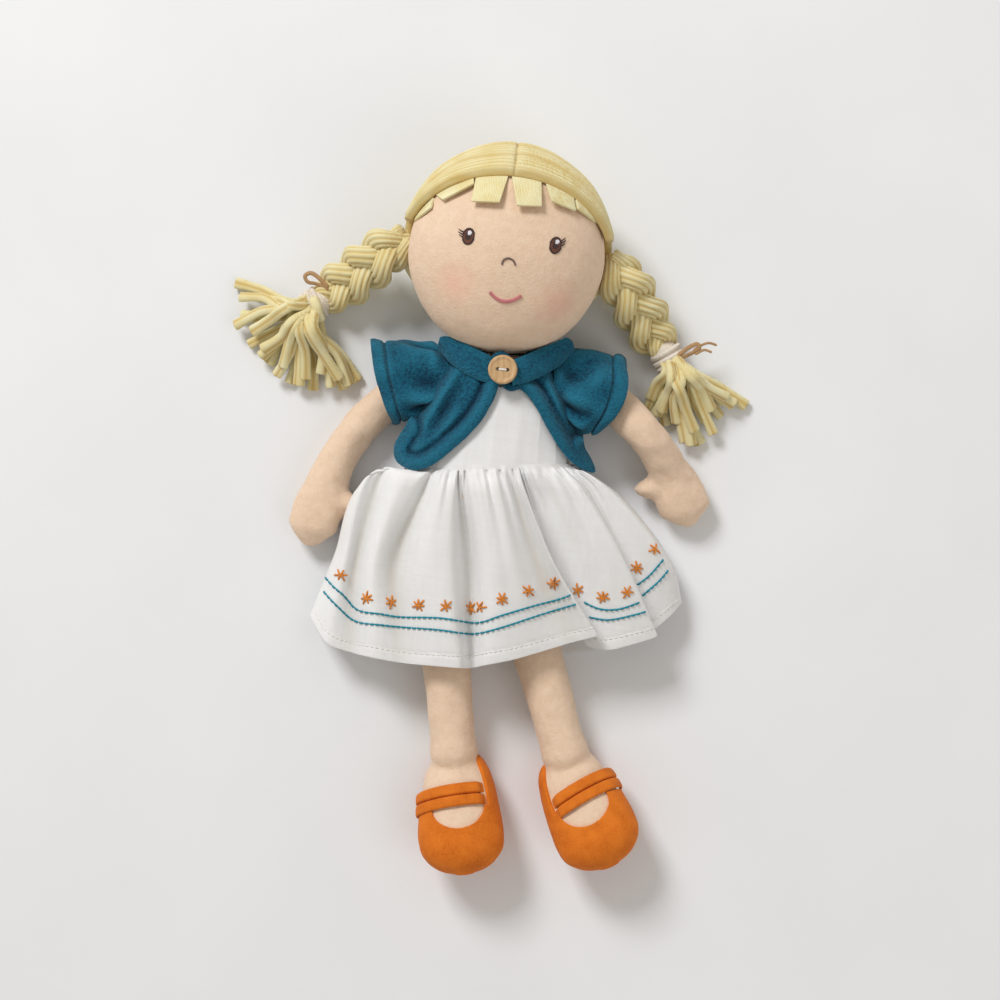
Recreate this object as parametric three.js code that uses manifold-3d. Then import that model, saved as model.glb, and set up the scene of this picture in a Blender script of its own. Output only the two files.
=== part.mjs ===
// Soft cloth doll lying on its back. +Y runs to the top of the head, +X to the viewer's right, +Z up.
// The origin is on the floor, on the flat of the jacket's back.
import * as THREE from 'three';
import { mergeVertices } from 'three/addons/utils/BufferGeometryUtils.js';
import Module from 'manifold-3d';

const wasm = await Module();
wasm.setup();

// Cloth and clearances, in millimetres
const seamGap = 0.35;
const linenWall = 1;
const velourWall = 1.6;
const jerseyWall = 1.4;
const shoeWall = 1.5;
const floorCut = 0.5;
const overrun = 60;
const fullTurnDegrees = 360;

// Torso, a stuffed pillow with a flat upper end that carries the neck
const torsoLength = 102;
const torsoWidth = 76;
const torsoDepth = 42;
const neckSeam = 46;
const hipShift = -6;
const torsoWidthShares = [[0, 0.42], [0.05, 0.74], [0.12, 0.9], [0.35, 0.93], [0.65, 0.98], [0.85, 1], [0.95, 0.9], [1, 0.72]];
const torsoDepthShares = [[0, 0.54], [0.07, 0.72], [0.18, 0.92], [0.4, 1], [0.65, 1], [0.8, 0.84], [0.9, 0.56], [1, 0.1]];
const torsoSteps = 11;
const torsoSides = 20;

// Neck
const neckWidth = 30;
const neckDepth = 21;
const neckLength = 16;
const neckShift = -1.5;
const neckSteps = 4;

// Head, a stuffed ball pressed a little flat from face to nape
const headWidth = 103;
const headHeight = 102;
const headDepth = 74;
const headShift = -4.3;
const headRise = 51.4;
const cheekShare = 0.05;
const headSteps = 14;

// Hair, two caps of ribbed strands that meet at a centre part
const hairDepth = 3;
const ribDepth = 0.9;
const ribCount = 10;
const hairlineDegrees = 41;
const napeDegrees = 222;
const rootDegrees = 76;
const hairSteps = 6;

// Fringe, jersey tabs that hang from the hair's front edge: [from, to, drop] in degrees round the head
const fringeStandOff = 0.9;
const fringeFlare = 1.6;
const fringeBand = 4;
const fringeDrop = 17;
const fringeTabs = [
  [-76, -53, 9], [-49, -28, 8], [-24, -6, 15], [-1, 17, 17], [20, 37, 17], [40, 56, 16], [59, 76, 12],
];

// Braids, each a three-strand plait from the side of the head down to the floor
const braidLength = 52;
const braidHalfWidth = 7.4;
const braidHalfDepth = 4.5;
const strandWidth = 9.4;
const strandDepth = 6.8;
const braidTurns = 1.2;
const braidTaperShares = [[0, 0.62], [0.16, 1], [0.8, 1], [1, 0.6]];
const strandSteps = 17;
const strandSides = 7;
const rootHeight = 33;
const tieHeight = 9.4;
const rootOut = 3.6;
const leftBraidDegrees = 219;
const rightBraidDegrees = 309;

// Hair ties and tassels
const tieBore = 6.2;
const tieWall = 2.4;
const tieLength = 6;
const tieSides = 20;
const tubeRadius = 2.8;
const tubeSides = 6;
const tubeSteps = 2;
const tasselLength = 44;
const tasselKnot = 5.6;
const knotSides = 10;
// One tassel tube in each row: [heading off the tassel's middle in degrees, share of its length, layer]
const leftTasselShares = [
  [-66, 0.84, 0], [-54, 1, 1], [-41, 0.92, 0], [-28, 1, 1], [-15, 0.9, 0], [-2, 0.98, 1], [10, 1, 0],
  [21, 0.94, 1], [32, 0.88, 0],
];
const rightTasselShares = [
  [-34, 0.84, 0], [-20, 0.86, 1], [-6, 0.94, 0], [8, 1, 1], [22, 0.94, 0], [36, 0.94, 1], [50, 0.94, 0],
  [62, 0.88, 1],
];
const leftTasselDegrees = 248;
const rightTasselDegrees = 274;

// Arms, sewn flat into the shoulders
const armLength = 120;
const armWidth = 22.5;
const armDepth = 21;
const leftShoulderHeight = 32;
const rightShoulderHeight = 40;
const shoulderInset = 4;
const shoulderSeat = 2.4;
const armFoldDegrees = [-15, 15, 30, 45, 60];
const leftArmDegrees = [58, 4];
const rightArmDegrees = [66, 24];
const rightArmReachShare = 0.945;
const armSteps = 12;
const armSides = 12;
const shoulderDropShare = 0.3;
const armArchShare = 0.8;
const thumbLength = 17;
const thumbWidth = 15;
const thumbPlaceShare = 0.76;
const leftThumbDegrees = -14;
const rightThumbDegrees = 200;
const thumbSteps = 4;
const thumbSides = 8;
const thumbWidthShares = [[0, 1], [0.6, 0.95], [0.9, 0.66], [1, 0.24]];
const armWidthShares = [[0, 0.8], [0.12, 0.96], [0.35, 1], [0.52, 0.96], [0.68, 1.06], [0.8, 1.3], [0.9, 1.32], [0.965, 0.96], [1, 0.3]];
const armDepthShares = [[0, 0.5], [0.12, 0.84], [0.35, 1], [0.68, 1], [0.85, 0.92], [0.95, 0.66], [1, 0.16]];

// Legs, sewn flat into the torso's lower seam
const legLength = 124;
const legWidth = 27;
const hipSeam = 57;
const hipSpread = 19;
const hipDropShare = 0.24;
const legSteps = 10;
const legSides = 12;
const legFoldDegrees = [-15, 15, 30, 45, 60, 75, 85];
const leftLegDegrees = 10.5;
const rightLegDegrees = 21.5;
const leftFootDegrees = 12;
const rightFootDegrees = 30;
const legWidthShares = [[0, 0.72], [0.08, 0.9], [0.2, 1.04], [0.5, 1], [0.8, 0.93], [0.93, 0.94], [1, 0.5]];
const legDepthShares = [[0, 0.07], [0.07, 0.5], [0.14, 0.8], [0.24, 1], [0.8, 0.94], [0.93, 0.94], [1, 0.5]];

// Feet and shoes
const footLength = 64;
const footWidth = 41;
const footDepth = 27;
const footPitchDegrees = 20;
const heelBack = 13;
const footSteps = 8;
const footSides = 14;
const footWidthShares = [[0, 0.3], [0.06, 0.62], [0.2, 0.82], [0.5, 0.96], [0.74, 1], [0.9, 0.8], [1, 0.26]];
const footDepthShares = [[0, 0.3], [0.06, 0.66], [0.2, 0.94], [0.5, 1], [0.74, 0.92], [0.9, 0.66], [1, 0.2]];
const throatLength = 14;
const throatWidth = 27;
const throatShare = 0.42;
const soleShare = 0.62;
const topLineShare = 0.7;
const strapWidth = 9;
const strapWall = 2.2;
const strapShare = 0.33;

// Dress
const bodiceEase = 5;
const necklineDrop = 19;
const necklineWidth = 27;
const armholeDrop = 6;
const armholeHeight = 38;
const armholeWidth = 28;
const waistHeight = -17;
const waistTilt = 8;
const skirtSideLength = 66;
const hemHalfWidth = 96;
const hemDip = 31;
const skirtGather = 9;
const skirtBackRise = 0.4;
const gatherShare = 0.12;
const crownShare = 0.25;
const hemLiftShare = 0.11;
const liningShare = 0.02;
const foldCount = 7;
const foldDepth = 2.4;
const skirtSteps = 8;
const skirtSides = 48;
const hemDepth = 38;

// Jacket
const jacketEase = 9;
const jacketBackHem = -8;
const hingeTopSpread = 32;
const hingeFootSpread = 43;
const frontReach = 60;
// Corners of each front, as shares of frontReach across and of neckSeam up
const leftFrontShares = [
  [-1, 0.87], [-0.4, 1], [-0.03, 0.87], [-0.028, 0.5], [-0.147, 0.148], [-0.338, -0.159], [-0.533, -0.38],
  [-0.7, -0.435], [-1, -0.37],
];
const rightFrontShares = [
  [1, 0.957], [0.4, 1], [0.05, 0.87], [0.09, 0.63], [0.258, 0.457], [0.49, 0.067], [0.683, -0.185], [1, -0.272],
];
const sleeveLength = 36;
const sleeveHalfWidth = 20;
const sleeveHalfDepth = 15.5;
const sleeveRoot = 26;
const leftSleeveHeight = 25.5;
const rightSleeveHeight = 31.5;
const leftSleeveDegrees = 184;
const rightSleeveDegrees = -3;
const rightCuffRise = 7;
const sleeveSteps = 5;
const sleeveSides = 16;
const sleeveWidthShares = [[0, 0.88], [0.5, 0.97], [1, 1]];
const sleeveDepthShares = [[0, 0.86], [0.5, 1.04], [1, 1]];
const sleeveOverShare = 0.1;

// Stand collar, button and closure
const collarHeight = 12.5;
const collarChinRise = 3.5;
const collarWidth = 67;
const collarDepth = 47;
const collarSeat = 38.5;
const collarDrop = 7.5;
const collarLap = 5;
const collarSteps = 12;
const foldDegrees = 70;
const buttonWidth = 15;
const buttonSides = 24;
const buttonHeight = 2.8;
const buttonRim = 1.2;
const buttonDish = 0.8;
const buttonHole = 1.7;
const buttonHolePitch = 4.4;
const holeSides = 10;
const padWidth = 7;
const padHeight = 8;
const padWall = 0.6;

// Sizes worked out from the ones above
const bodiceOffset = seamGap;
const jacketOffset = bodiceOffset + linenWall + seamGap;
const torsoMiddle = jacketOffset + velourWall - floorCut + torsoDepth / 2;
const headMiddle = hairDepth + ribDepth - floorCut + headDepth / 2;
const headCentre = new THREE.Vector3(headShift, neckSeam + headRise, headMiddle);
const legRest = linenWall + 2 * skirtBackRise + seamGap;

// Smooth reading of a table of [place, value] rows
function valueAt(table, place) {
  const last = table.length - 1;
  if (place <= table[0][0]) {
    return table[0][1];
  }
  if (place >= table[last][0]) {
    return table[last][1];
  }
  const row = table.findIndex((entry) => entry[0] > place) - 1;
  const slopeAt = (index) => {
    const before = table[Math.max(index - 1, 0)];
    const after = table[Math.min(index + 1, last)];
    return (after[1] - before[1]) / (after[0] - before[0]);
  };
  const [x0, y0] = table[row];
  const [x1, y1] = table[row + 1];
  const span = x1 - x0;
  const u = (place - x0) / span;
  const rise = y1 - y0;
  const m0 = slopeAt(row) * span;
  const m1 = slopeAt(row + 1) * span;
  return y0 + u * m0 + u * u * (3 * rise - 2 * m0 - m1) + u * u * u * (m0 + m1 - 2 * rise);
}

function turnOf(degrees) {
  return THREE.MathUtils.degToRad(degrees);
}

function headingOf(degrees) {
  return new THREE.Vector3(Math.cos(turnOf(degrees)), Math.sin(turnOf(degrees)), 0);
}

// Six times the volume inside a closed mesh, negative where its faces point inwards
function volumeSign(positions, indices) {
  const a = new THREE.Vector3();
  const b = new THREE.Vector3();
  const c = new THREE.Vector3();
  let total = 0;
  for (let i = 0; i < indices.length; i += 3) {
    a.fromArray(positions, 3 * indices[i]);
    b.fromArray(positions, 3 * indices[i + 1]);
    c.fromArray(positions, 3 * indices[i + 2]);
    total += a.dot(b.cross(c));
  }
  return total;
}

// Triangles that close one end ring: a fan round its middle, or a strip where the ring is a bent band
function endCap(ring, first, isBand, positions) {
  const count = ring.length;
  const faces = [];
  if (isBand) {
    for (let j = 0; j < count / 2 - 1; j += 1) {
      const far = count - 1 - j;
      faces.push([first + j, first + far, first + far - 1], [first + j, first + far - 1, first + j + 1]);
    }
    return faces;
  }
  const centre = new THREE.Vector3();
  ring.forEach((point) => centre.add(point));
  centre.divideScalar(count);
  const hub = positions.length / 3;
  positions.push(centre.x, centre.y, centre.z);
  for (let j = 0; j < count; j += 1) {
    faces.push([hub, first + ((j + 1) % count), first + j]);
  }
  return faces;
}

// Closed solid through rings of points
function loft(rings, isBand = false) {
  const count = rings[0].length;
  const positions = [];
  for (const ring of rings) {
    for (const point of ring) {
      positions.push(point.x, point.y, point.z);
    }
  }
  const indices = [];
  for (let i = 0; i < rings.length - 1; i += 1) {
    for (let j = 0; j < count; j += 1) {
      const k = (j + 1) % count;
      indices.push(i * count + j, i * count + k, (i + 1) * count + k);
      indices.push(i * count + j, (i + 1) * count + k, (i + 1) * count + j);
    }
  }
  const lastRing = rings.length - 1;
  endCap(rings[0], 0, isBand, positions).forEach((face) => indices.push(...face));
  endCap(rings[lastRing], lastRing * count, isBand, positions).forEach(([a, b, c]) => indices.push(a, c, b));
  if (volumeSign(positions, indices) < 0) {
    for (let i = 0; i < indices.length; i += 3) {
      [indices[i], indices[i + 1]] = [indices[i + 1], indices[i]];
    }
  }
  const geometry = new THREE.BufferGeometry();
  geometry.setAttribute('position', new THREE.Float32BufferAttribute(positions, 3));
  geometry.setIndex(indices);
  return toSolid(geometry);
}

// Closed geometry as a solid that can be joined and cut
function toSolid(geometry) {
  const bare = geometry.clone();
  bare.deleteAttribute('normal');
  bare.deleteAttribute('uv');
  const merged = mergeVertices(bare);
  return new wasm.Manifold(new wasm.Mesh({
    numProp: 3,
    vertProperties: new Float32Array(merged.attributes.position.array),
    triVerts: new Uint32Array(merged.index.array),
  }));
}

function toGeometry(solid) {
  const mesh = solid.getMesh();
  const geometry = new THREE.BufferGeometry();
  geometry.setAttribute('position', new THREE.BufferAttribute(new Float32Array(mesh.vertProperties), 3));
  geometry.setIndex(new THREE.BufferAttribute(new Uint32Array(mesh.triVerts), 1));
  geometry.computeVertexNormals();
  return geometry;
}

function joined(solids) {
  return solids.reduce((whole, piece) => whole.add(piece));
}

function without(solid, ...cutters) {
  return cutters.reduce((rest, cutter) => rest.subtract(cutter), solid);
}

// Largest separate part of a solid, so that a cut leaves no loose crumbs
function mainPart(solid) {
  return solid.decompose().sort((a, b) => b.volume() - a.volume())[0];
}

// Straight prism over an outline of [x, y] points, from one height to another
function prism(outline, low, high) {
  const shape = new THREE.Shape(outline.map(([x, y]) => new THREE.Vector2(x, y)));
  const geometry = new THREE.ExtrudeGeometry(shape, { depth: high - low, bevelEnabled: false });
  geometry.translate(0, 0, low);
  return toSolid(geometry);
}

function ovalOutline(centreX, centreY, halfX, halfY) {
  const shape = new THREE.EllipseCurve(centreX, centreY, halfX, halfY);
  return shape.getPoints(torsoSides).slice(0, -1).map((point) => [point.x, point.y]);
}

// Solid turned about an axis through a point
function turnedAbout(solid, pivot, axis, degrees) {
  const back = new THREE.Matrix4().makeTranslation(-pivot.x, -pivot.y, -pivot.z);
  const turn = new THREE.Matrix4().makeRotationAxis(axis, turnOf(degrees));
  const whole = new THREE.Matrix4().makeTranslation(pivot.x, pivot.y, pivot.z).multiply(turn).multiply(back);
  return solid.transform(whole.elements);
}

// Everything above the floor, for cutting flat what rests on it
function aboveFloor(solid) {
  return solid.subtract(toSolid(new THREE.BoxGeometry(20 * overrun, 20 * overrun, 2 * overrun).translate(0, 0, -overrun)));
}

// Ring of a soft section round a centre, across two directions
function sectionRing(centre, across, up, halfAcross, halfUp, sides) {
  const ring = [];
  for (let i = 0; i < sides; i += 1) {
    const angle = (2 * Math.PI * i) / sides;
    const point = centre.clone();
    point.addScaledVector(across, halfAcross * Math.cos(angle));
    point.addScaledVector(up, halfUp * Math.sin(angle));
    ring.push(point);
  }
  return ring;
}

// Soft limb along a path, whose half sizes across and up are read at each share of its length
function limb({ path, halfAcross, halfUp, steps, sides, grow = 0 }) {
  const rings = [];
  const step = 1 / (steps * steps);
  for (let i = 0; i <= steps; i += 1) {
    const share = i / steps;
    const centre = path(share);
    const tangent = path(share + step).sub(path(share - step)).normalize();
    const across = new THREE.Vector3().crossVectors(tangent, new THREE.Vector3(0, 0, 1)).normalize();
    const up = new THREE.Vector3().crossVectors(across, tangent);
    if (i === 0) {
      centre.addScaledVector(tangent, -grow);
    }
    if (i === steps) {
      centre.addScaledVector(tangent, grow);
    }
    rings.push(sectionRing(centre, across, up, halfAcross(share) + grow, halfUp(share) + grow, sides));
  }
  return loft(rings);
}

// Torso shape, wider and deeper all round by the given amounts, and looser where a garment is eased
function torsoShape({ growWidth = 0, growDepth = 0, ease = () => 0 } = {}) {
  const rings = [];
  for (let i = 0; i <= torsoSteps; i += 1) {
    const share = i / torsoSteps;
    const halfWidth = (torsoWidth / 2) * valueAt(torsoWidthShares, share) + growWidth + ease(share);
    const halfDepth = (torsoDepth / 2) * valueAt(torsoDepthShares, share) + growDepth;
    const centre = new THREE.Vector3(hipShift * share * share, neckSeam - share * torsoLength, torsoMiddle);
    rings.push(sectionRing(centre, new THREE.Vector3(1, 0, 0), new THREE.Vector3(0, 0, 1), halfWidth, halfDepth, torsoSides));
  }
  return loft(rings);
}

function shareAt(y) {
  return (neckSeam - y) / torsoLength;
}

// Cloth shell that follows the torso
function torsoShell({ offset, wall, ease }) {
  const outer = torsoShape({ growWidth: offset + wall, growDepth: offset + wall, ease });
  return outer.subtract(torsoShape({ growWidth: offset, growDepth: offset, ease }));
}

// Point on the head, or off it by a distance, at a longitude from the middle and an angle round the ears' axis
function headPoint(longitude, latitude, off) {
  const side = Math.sin(turnOf(longitude));
  const ring = Math.cos(turnOf(longitude));
  const lift = ring * Math.sin(turnOf(latitude));
  const face = ring * Math.cos(turnOf(latitude));
  const cheek = 1 - cheekShare * lift;
  return new THREE.Vector3(
    headCentre.x + (headWidth / 2 * cheek + off) * side,
    headCentre.y + (headHeight / 2 + off) * lift,
    headCentre.z + (headDepth / 2 + off) * face,
  );
}

function headShape(grow) {
  const rings = [];
  for (let i = 1; i < headSteps; i += 1) {
    const longitude = (fullTurnDegrees / 2) * (i / headSteps - 0.5);
    const ring = [];
    for (let j = 0; j < torsoSides; j += 1) {
      ring.push(headPoint(longitude, (fullTurnDegrees * j) / torsoSides, grow));
    }
    rings.push(ring);
  }
  const ears = fullTurnDegrees / 4;
  const last = rings[rings.length - 1];
  rings.unshift(rings[0].map((point) => headPoint(-ears, 0, grow).lerp(point, cheekShare)));
  rings.push(last.map((point) => headPoint(ears, 0, grow).lerp(point, cheekShare)));
  return loft(rings);
}

// Curved slab on the head between two longitudes and two latitudes
function headSlab({ longitudes, latitudes, inner, outer, steps, ribs }) {
  const rings = [];
  for (let i = 0; i <= steps; i += 1) {
    const longitude = longitudes[0] + ((longitudes[1] - longitudes[0]) * i) / steps;
    const outside = [];
    const inside = [];
    for (let j = 0; j <= ribs; j += 1) {
      const latitude = latitudes[0] + ((latitudes[1] - latitudes[0]) * j) / ribs;
      outside.push(headPoint(longitude, latitude, outer(longitude, j / ribs)));
      inside.push(headPoint(longitude, latitude, inner(longitude, j / ribs)));
    }
    rings.push([...outside, ...inside.reverse()]);
  }
  return loft(rings, true);
}

// Hair cap on one side: strands run like lines of longitude from the part to the braid's root
function hairCap(side) {
  const partGap = THREE.MathUtils.radToDeg(seamGap / headWidth);
  const ribs = 2 * ribCount;
  const rib = (share) => ribDepth * Math.abs(Math.sin(Math.PI * ribCount * share));
  const cap = headSlab({
    longitudes: [side * partGap, side * rootDegrees],
    latitudes: [hairlineDegrees, napeDegrees],
    inner: () => seamGap,
    outer: (longitude, share) => hairDepth + rib(share),
    steps: hairSteps,
    ribs,
  });
  return aboveFloor(cap);
}

// Fringe: a strip tucked against the hair's front edge, cut into tabs that lift off the forehead
function fringe() {
  const edge = hairlineDegrees - THREE.MathUtils.radToDeg((2 * seamGap) / headDepth);
  const slit = THREE.MathUtils.radToDeg(seamGap / headWidth);
  const stations = [];
  for (const [from, to, drop] of fringeTabs) {
    const middle = (from + to) / 2;
    stations.push([from - slit, fringeBand], [from, drop], [middle, drop], [to, drop], [to + slit, fringeBand]);
  }
  const rings = stations.slice(1, -1).map(([longitude, drop]) => {
    const outside = [];
    const inside = [];
    for (const share of [0, 0.5, 1]) {
      const standOff = fringeStandOff + fringeFlare * share * (drop / fringeDrop);
      outside.push(headPoint(longitude, edge - drop * share, standOff + jerseyWall));
      inside.push(headPoint(longitude, edge - drop * share, standOff));
    }
    return [...outside, ...inside.reverse()];
  });
  return loft(rings, true);
}

// Place along a braid's middle line, from its root to its tie
function braidPath(root, heading) {
  const out = headingOf(heading);
  return (share) => {
    const point = root.clone().addScaledVector(out, braidLength * share);
    const fall = (1 - Math.cos(Math.PI * Math.min(Math.max(share, 0), 1))) / 2;
    point.z = rootHeight + (tieHeight - rootHeight) * fall;
    return point;
  };
}

// Three strands plaited together, each pressed in where another crosses it
function plait(path) {
  const hairCut = headShape(hairDepth + ribDepth + 2 * seamGap);
  const strands = [];
  for (let index = 0; index < 3; index += 1) {
    const others = strands.map((before, order) => plaitStrand(path, order / 3, seamGap));
    strands.push(mainPart(without(plaitStrand(path, index / 3, 0), hairCut, ...others)));
  }
  return strands;
}

// One strand of a plait, weaving over and under the other two
function plaitStrand(path, phase, grow) {
  const taper = (share) => valueAt(braidTaperShares, share);
  const strand = (share) => {
    const centre = path(share);
    const along = path(share + 1 / strandSteps).sub(path(share - 1 / strandSteps)).normalize();
    const across = new THREE.Vector3().crossVectors(along, new THREE.Vector3(0, 0, 1)).normalize();
    const up = new THREE.Vector3().crossVectors(across, along);
    const angle = 2 * Math.PI * (braidTurns * share + phase);
    centre.addScaledVector(across, braidHalfWidth * taper(share) * Math.sin(angle));
    return centre.addScaledVector(up, braidHalfDepth * taper(share) * Math.sin(2 * angle));
  };
  return limb({
    path: strand,
    halfAcross: (share) => (strandWidth / 2) * taper(share),
    halfUp: (share) => (strandDepth / 2) * taper(share),
    steps: strandSteps,
    sides: strandSides,
    grow,
  });
}

// Band wound round the end of a braid
function hairTie(path) {
  const profile = [
    [tieBore, -tieLength / 2], [tieBore + tieWall, -tieLength / 3], [tieBore + tieWall, tieLength / 3],
    [tieBore, tieLength / 2], [tieBore, -tieLength / 2],
  ].map(([radius, y]) => new THREE.Vector2(radius, y));
  const geometry = new THREE.LatheGeometry(profile, tieSides);
  const along = path(1).sub(path(1 - 1 / strandSteps)).normalize();
  geometry.applyQuaternion(new THREE.Quaternion().setFromUnitVectors(new THREE.Vector3(0, 1, 0), along));
  const centre = path(1).addScaledVector(along, tieLength / 2 + 5 * seamGap);
  geometry.translate(centre.x, centre.y, centre.z);
  return aboveFloor(toSolid(geometry));
}

// Tassel: a knot through the tie, with jersey tubes that fan out over the floor
function tassel(path, heading, rows) {
  const along = path(1).sub(path(1 - 1 / strandSteps)).normalize();
  const start = path(1).addScaledVector(along, 6 * seamGap);
  const knotEnd = start.clone().addScaledVector(along, tieLength + tubeRadius);
  const knot = limb({
    path: (share) => start.clone().lerp(knotEnd, share),
    halfAcross: () => tasselKnot,
    halfUp: () => tasselKnot,
    steps: 1,
    sides: knotSides,
  });
  const tubes = rows.map(([turn, lengthShare, layer]) => {
    const out = headingOf(heading + turn);
    const length = tasselLength * lengthShare;
    const rest = tubeRadius * (1 + 1.5 * layer) - floorCut / 2;
    const from = knotEnd.clone();
    return limb({
      path: (share) => {
        const point = from.clone().addScaledVector(out, length * share);
        point.z = rest + (from.z - rest) * Math.max(1 - 2 * share, 0);
        return point;
      },
      halfAcross: () => tubeRadius,
      halfUp: () => tubeRadius,
      steps: tubeSteps,
      sides: tubeSides,
    });
  });
  return mainPart(aboveFloor(joined([knot, ...tubes])));
}

// Path that leaves a point at one angle from the legs' direction and bends steadily to another
function bentPath(start, side, [firstDegrees, lastDegrees], length, heightAt) {
  const first = turnOf(firstDegrees);
  const bend = (turnOf(lastDegrees) - first) / length;
  return (share) => {
    const angle = first + bend * length * share;
    const outward = (Math.cos(first) - Math.cos(angle)) / bend;
    const down = (Math.sin(angle) - Math.sin(first)) / bend;
    return new THREE.Vector3(start.x + side * outward, start.y - down, heightAt(share));
  };
}

// Arm on one side, with its mitten hand. Its flat reach is a share of its length, and the rest arches up
function arm({ side, shoulderHeight, turn, reachShare, thumbTurn, grow = 0 }) {
  const start = new THREE.Vector3(side * (torsoWidth / 2 - shoulderInset), shoulderHeight, 0);
  const resting = armDepth / 2 - floorCut;
  const reach = armLength * reachShare;
  const arch = (2 / Math.PI) * Math.sqrt(reach * (armLength - reach));
  const heightAt = (share) => {
    const drop = Math.max(1 - share / shoulderDropShare, 0);
    const raised = arch * Math.sin(Math.PI * Math.min(Math.max(share / armArchShare, 0), 1)) ** 2;
    return resting + (torsoMiddle - resting) * drop * drop * (3 - 2 * drop) + raised;
  };
  const path = bentPath(start, side, turn, reach, heightAt);
  const sleeveArm = limb({
    path,
    halfAcross: (share) => (armWidth / 2) * valueAt(armWidthShares, share),
    halfUp: (share) => (armDepth / 2) * valueAt(armDepthShares, share),
    steps: armSteps,
    sides: armSides,
    grow,
  });
  const toBody = headingOf(thumbTurn);
  const thumbFrom = path(thumbPlaceShare).addScaledVector(toBody, armWidth / 4);
  const thumbHalf = (share) => (thumbWidth / 2) * valueAt(thumbWidthShares, share);
  const thumb = limb({
    path: (share) => thumbFrom.clone().addScaledVector(toBody, thumbLength * share),
    halfAcross: thumbHalf,
    halfUp: thumbHalf,
    steps: thumbSteps,
    sides: thumbSides,
    grow,
  });
  return aboveFloor(sleeveArm.add(thumb));
}

// Place along a leg from the hip seam to the ankle
function legPath(side, turn) {
  const start = new THREE.Vector3(hipShift + side * hipSpread, -hipSeam, 0);
  const out = headingOf(turn - 90);
  const resting = legWidth / 2 + legRest;
  const heelRest = legWidth / 2 - floorCut;
  return (share) => {
    const point = start.clone().addScaledVector(out, legLength * share);
    const drop = Math.max(1 - share / hipDropShare, 0);
    const lowered = (heelRest - resting) * Math.max(share, 0) ** 6;
    point.z = resting + (torsoMiddle - resting) * drop * drop * (3 - 2 * drop) + lowered;
    return point;
  };
}

// Place along a foot from its heel to its toe
function footPath({ side, turn, footTurn }) {
  const ankle = legPath(side, turn)(1);
  const out = headingOf(footTurn - 90);
  const rise = new THREE.Vector3(0, 0, 1);
  const along = out.clone().multiplyScalar(Math.cos(turnOf(footPitchDegrees))).addScaledVector(rise, Math.sin(turnOf(footPitchDegrees)));
  const heel = ankle.clone().addScaledVector(along, -heelBack);
  return (share) => heel.clone().addScaledVector(along, footLength * share);
}

function foot(pose, grow) {
  return limb({
    path: footPath(pose),
    halfAcross: (share) => (footWidth / 2) * valueAt(footWidthShares, share),
    halfUp: (share) => (footDepth / 2) * valueAt(footDepthShares, share),
    steps: footSteps,
    sides: footSides,
    grow,
  });
}

function shank({ side, turn }, grow) {
  return limb({
    path: legPath(side, turn),
    halfAcross: (share) => (legWidth / 2) * valueAt(legWidthShares, share),
    halfUp: (share) => (legWidth / 2) * valueAt(legDepthShares, share),
    steps: legSteps,
    sides: legSides,
    grow,
  });
}

// Frame of the foot: where its sole's plane, throat and strap are measured from
function footFrame(pose) {
  const path = footPath(pose);
  const along = path(1).sub(path(0)).normalize();
  const across = new THREE.Vector3().crossVectors(along, new THREE.Vector3(0, 0, 1)).normalize();
  const up = new THREE.Vector3().crossVectors(across, along);
  return { path, matrix: new THREE.Matrix4().makeBasis(across, along, up) };
}

function placedInFoot(geometry, frame, share, lift) {
  const centre = frame.path(share);
  const place = frame.matrix.clone().setPosition(centre);
  geometry.translate(0, 0, lift);
  geometry.applyMatrix4(place);
  return toSolid(geometry);
}

// Shoe on one foot: an upper with an open throat, a sole under it and a strap over the instep
function shoe(pose) {
  const frame = footFrame(pose);
  const skin = foot(pose, seamGap).add(shank(pose, seamGap));
  const whole = foot(pose, seamGap + shoeWall).subtract(skin);
  const soleLift = -(footDepth / 2) * soleShare;
  const slab = () => new THREE.BoxGeometry(2 * footWidth, 3 * footLength, footDepth);
  const soleRegion = placedInFoot(slab(), frame, 0.5, soleLift - footDepth / 2);
  const soleCut = placedInFoot(slab(), frame, 0.5, soleLift - footDepth / 2 + seamGap);
  const throatShape = new THREE.CylinderGeometry(0.5, 0.5, footDepth, torsoSides).rotateX(Math.PI / 2);
  const throat = placedInFoot(throatShape.scale(throatWidth, 2 * throatLength, 1), frame, throatShare, footDepth / 2);
  const topLine = new THREE.BoxGeometry(2 * footWidth, footLength, footDepth);
  const topCut = placedInFoot(topLine, frame, throatShare - 0.5, footDepth * topLineShare);
  const upper = mainPart(aboveFloor(without(whole, soleCut, throat, topCut)));
  const sole = mainPart(aboveFloor(whole.intersect(soleRegion)));
  return { upper, sole, band: strap(pose, frame) };
}

function strap(pose, frame) {
  const offset = 2 * seamGap + shoeWall;
  const outer = foot(pose, offset + strapWall);
  const bandBox = new THREE.BoxGeometry(2 * footWidth, strapWidth, footDepth);
  const band = placedInFoot(bandBox, frame, strapShare, footDepth / 2);
  return mainPart(without(outer.intersect(band), foot(pose, offset), shank(pose, seamGap)));
}

// Looseness of the bodice and the jacket, growing from the shoulders down
function bodiceLoose(share) {
  return bodiceEase * Math.min(Math.max(share / shareAt(waistHeight), 0), 1) ** 2;
}

function jacketLoose(share) {
  return bodiceLoose(share) + (jacketEase - bodiceEase) * Math.min(Math.max(share / shareAt(jacketBackHem), 0), 1) ** 1.5;
}

// Half of space below the tilted waist line
function belowWaist(gap) {
  const side = 4 * overrun;
  const box = new THREE.BoxGeometry(side, side, side);
  box.translate(0, -side / 2 - gap, 0);
  box.rotateZ(turnOf(waistTilt));
  box.translate(hipShift, waistHeight, 0);
  return toSolid(box);
}

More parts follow.
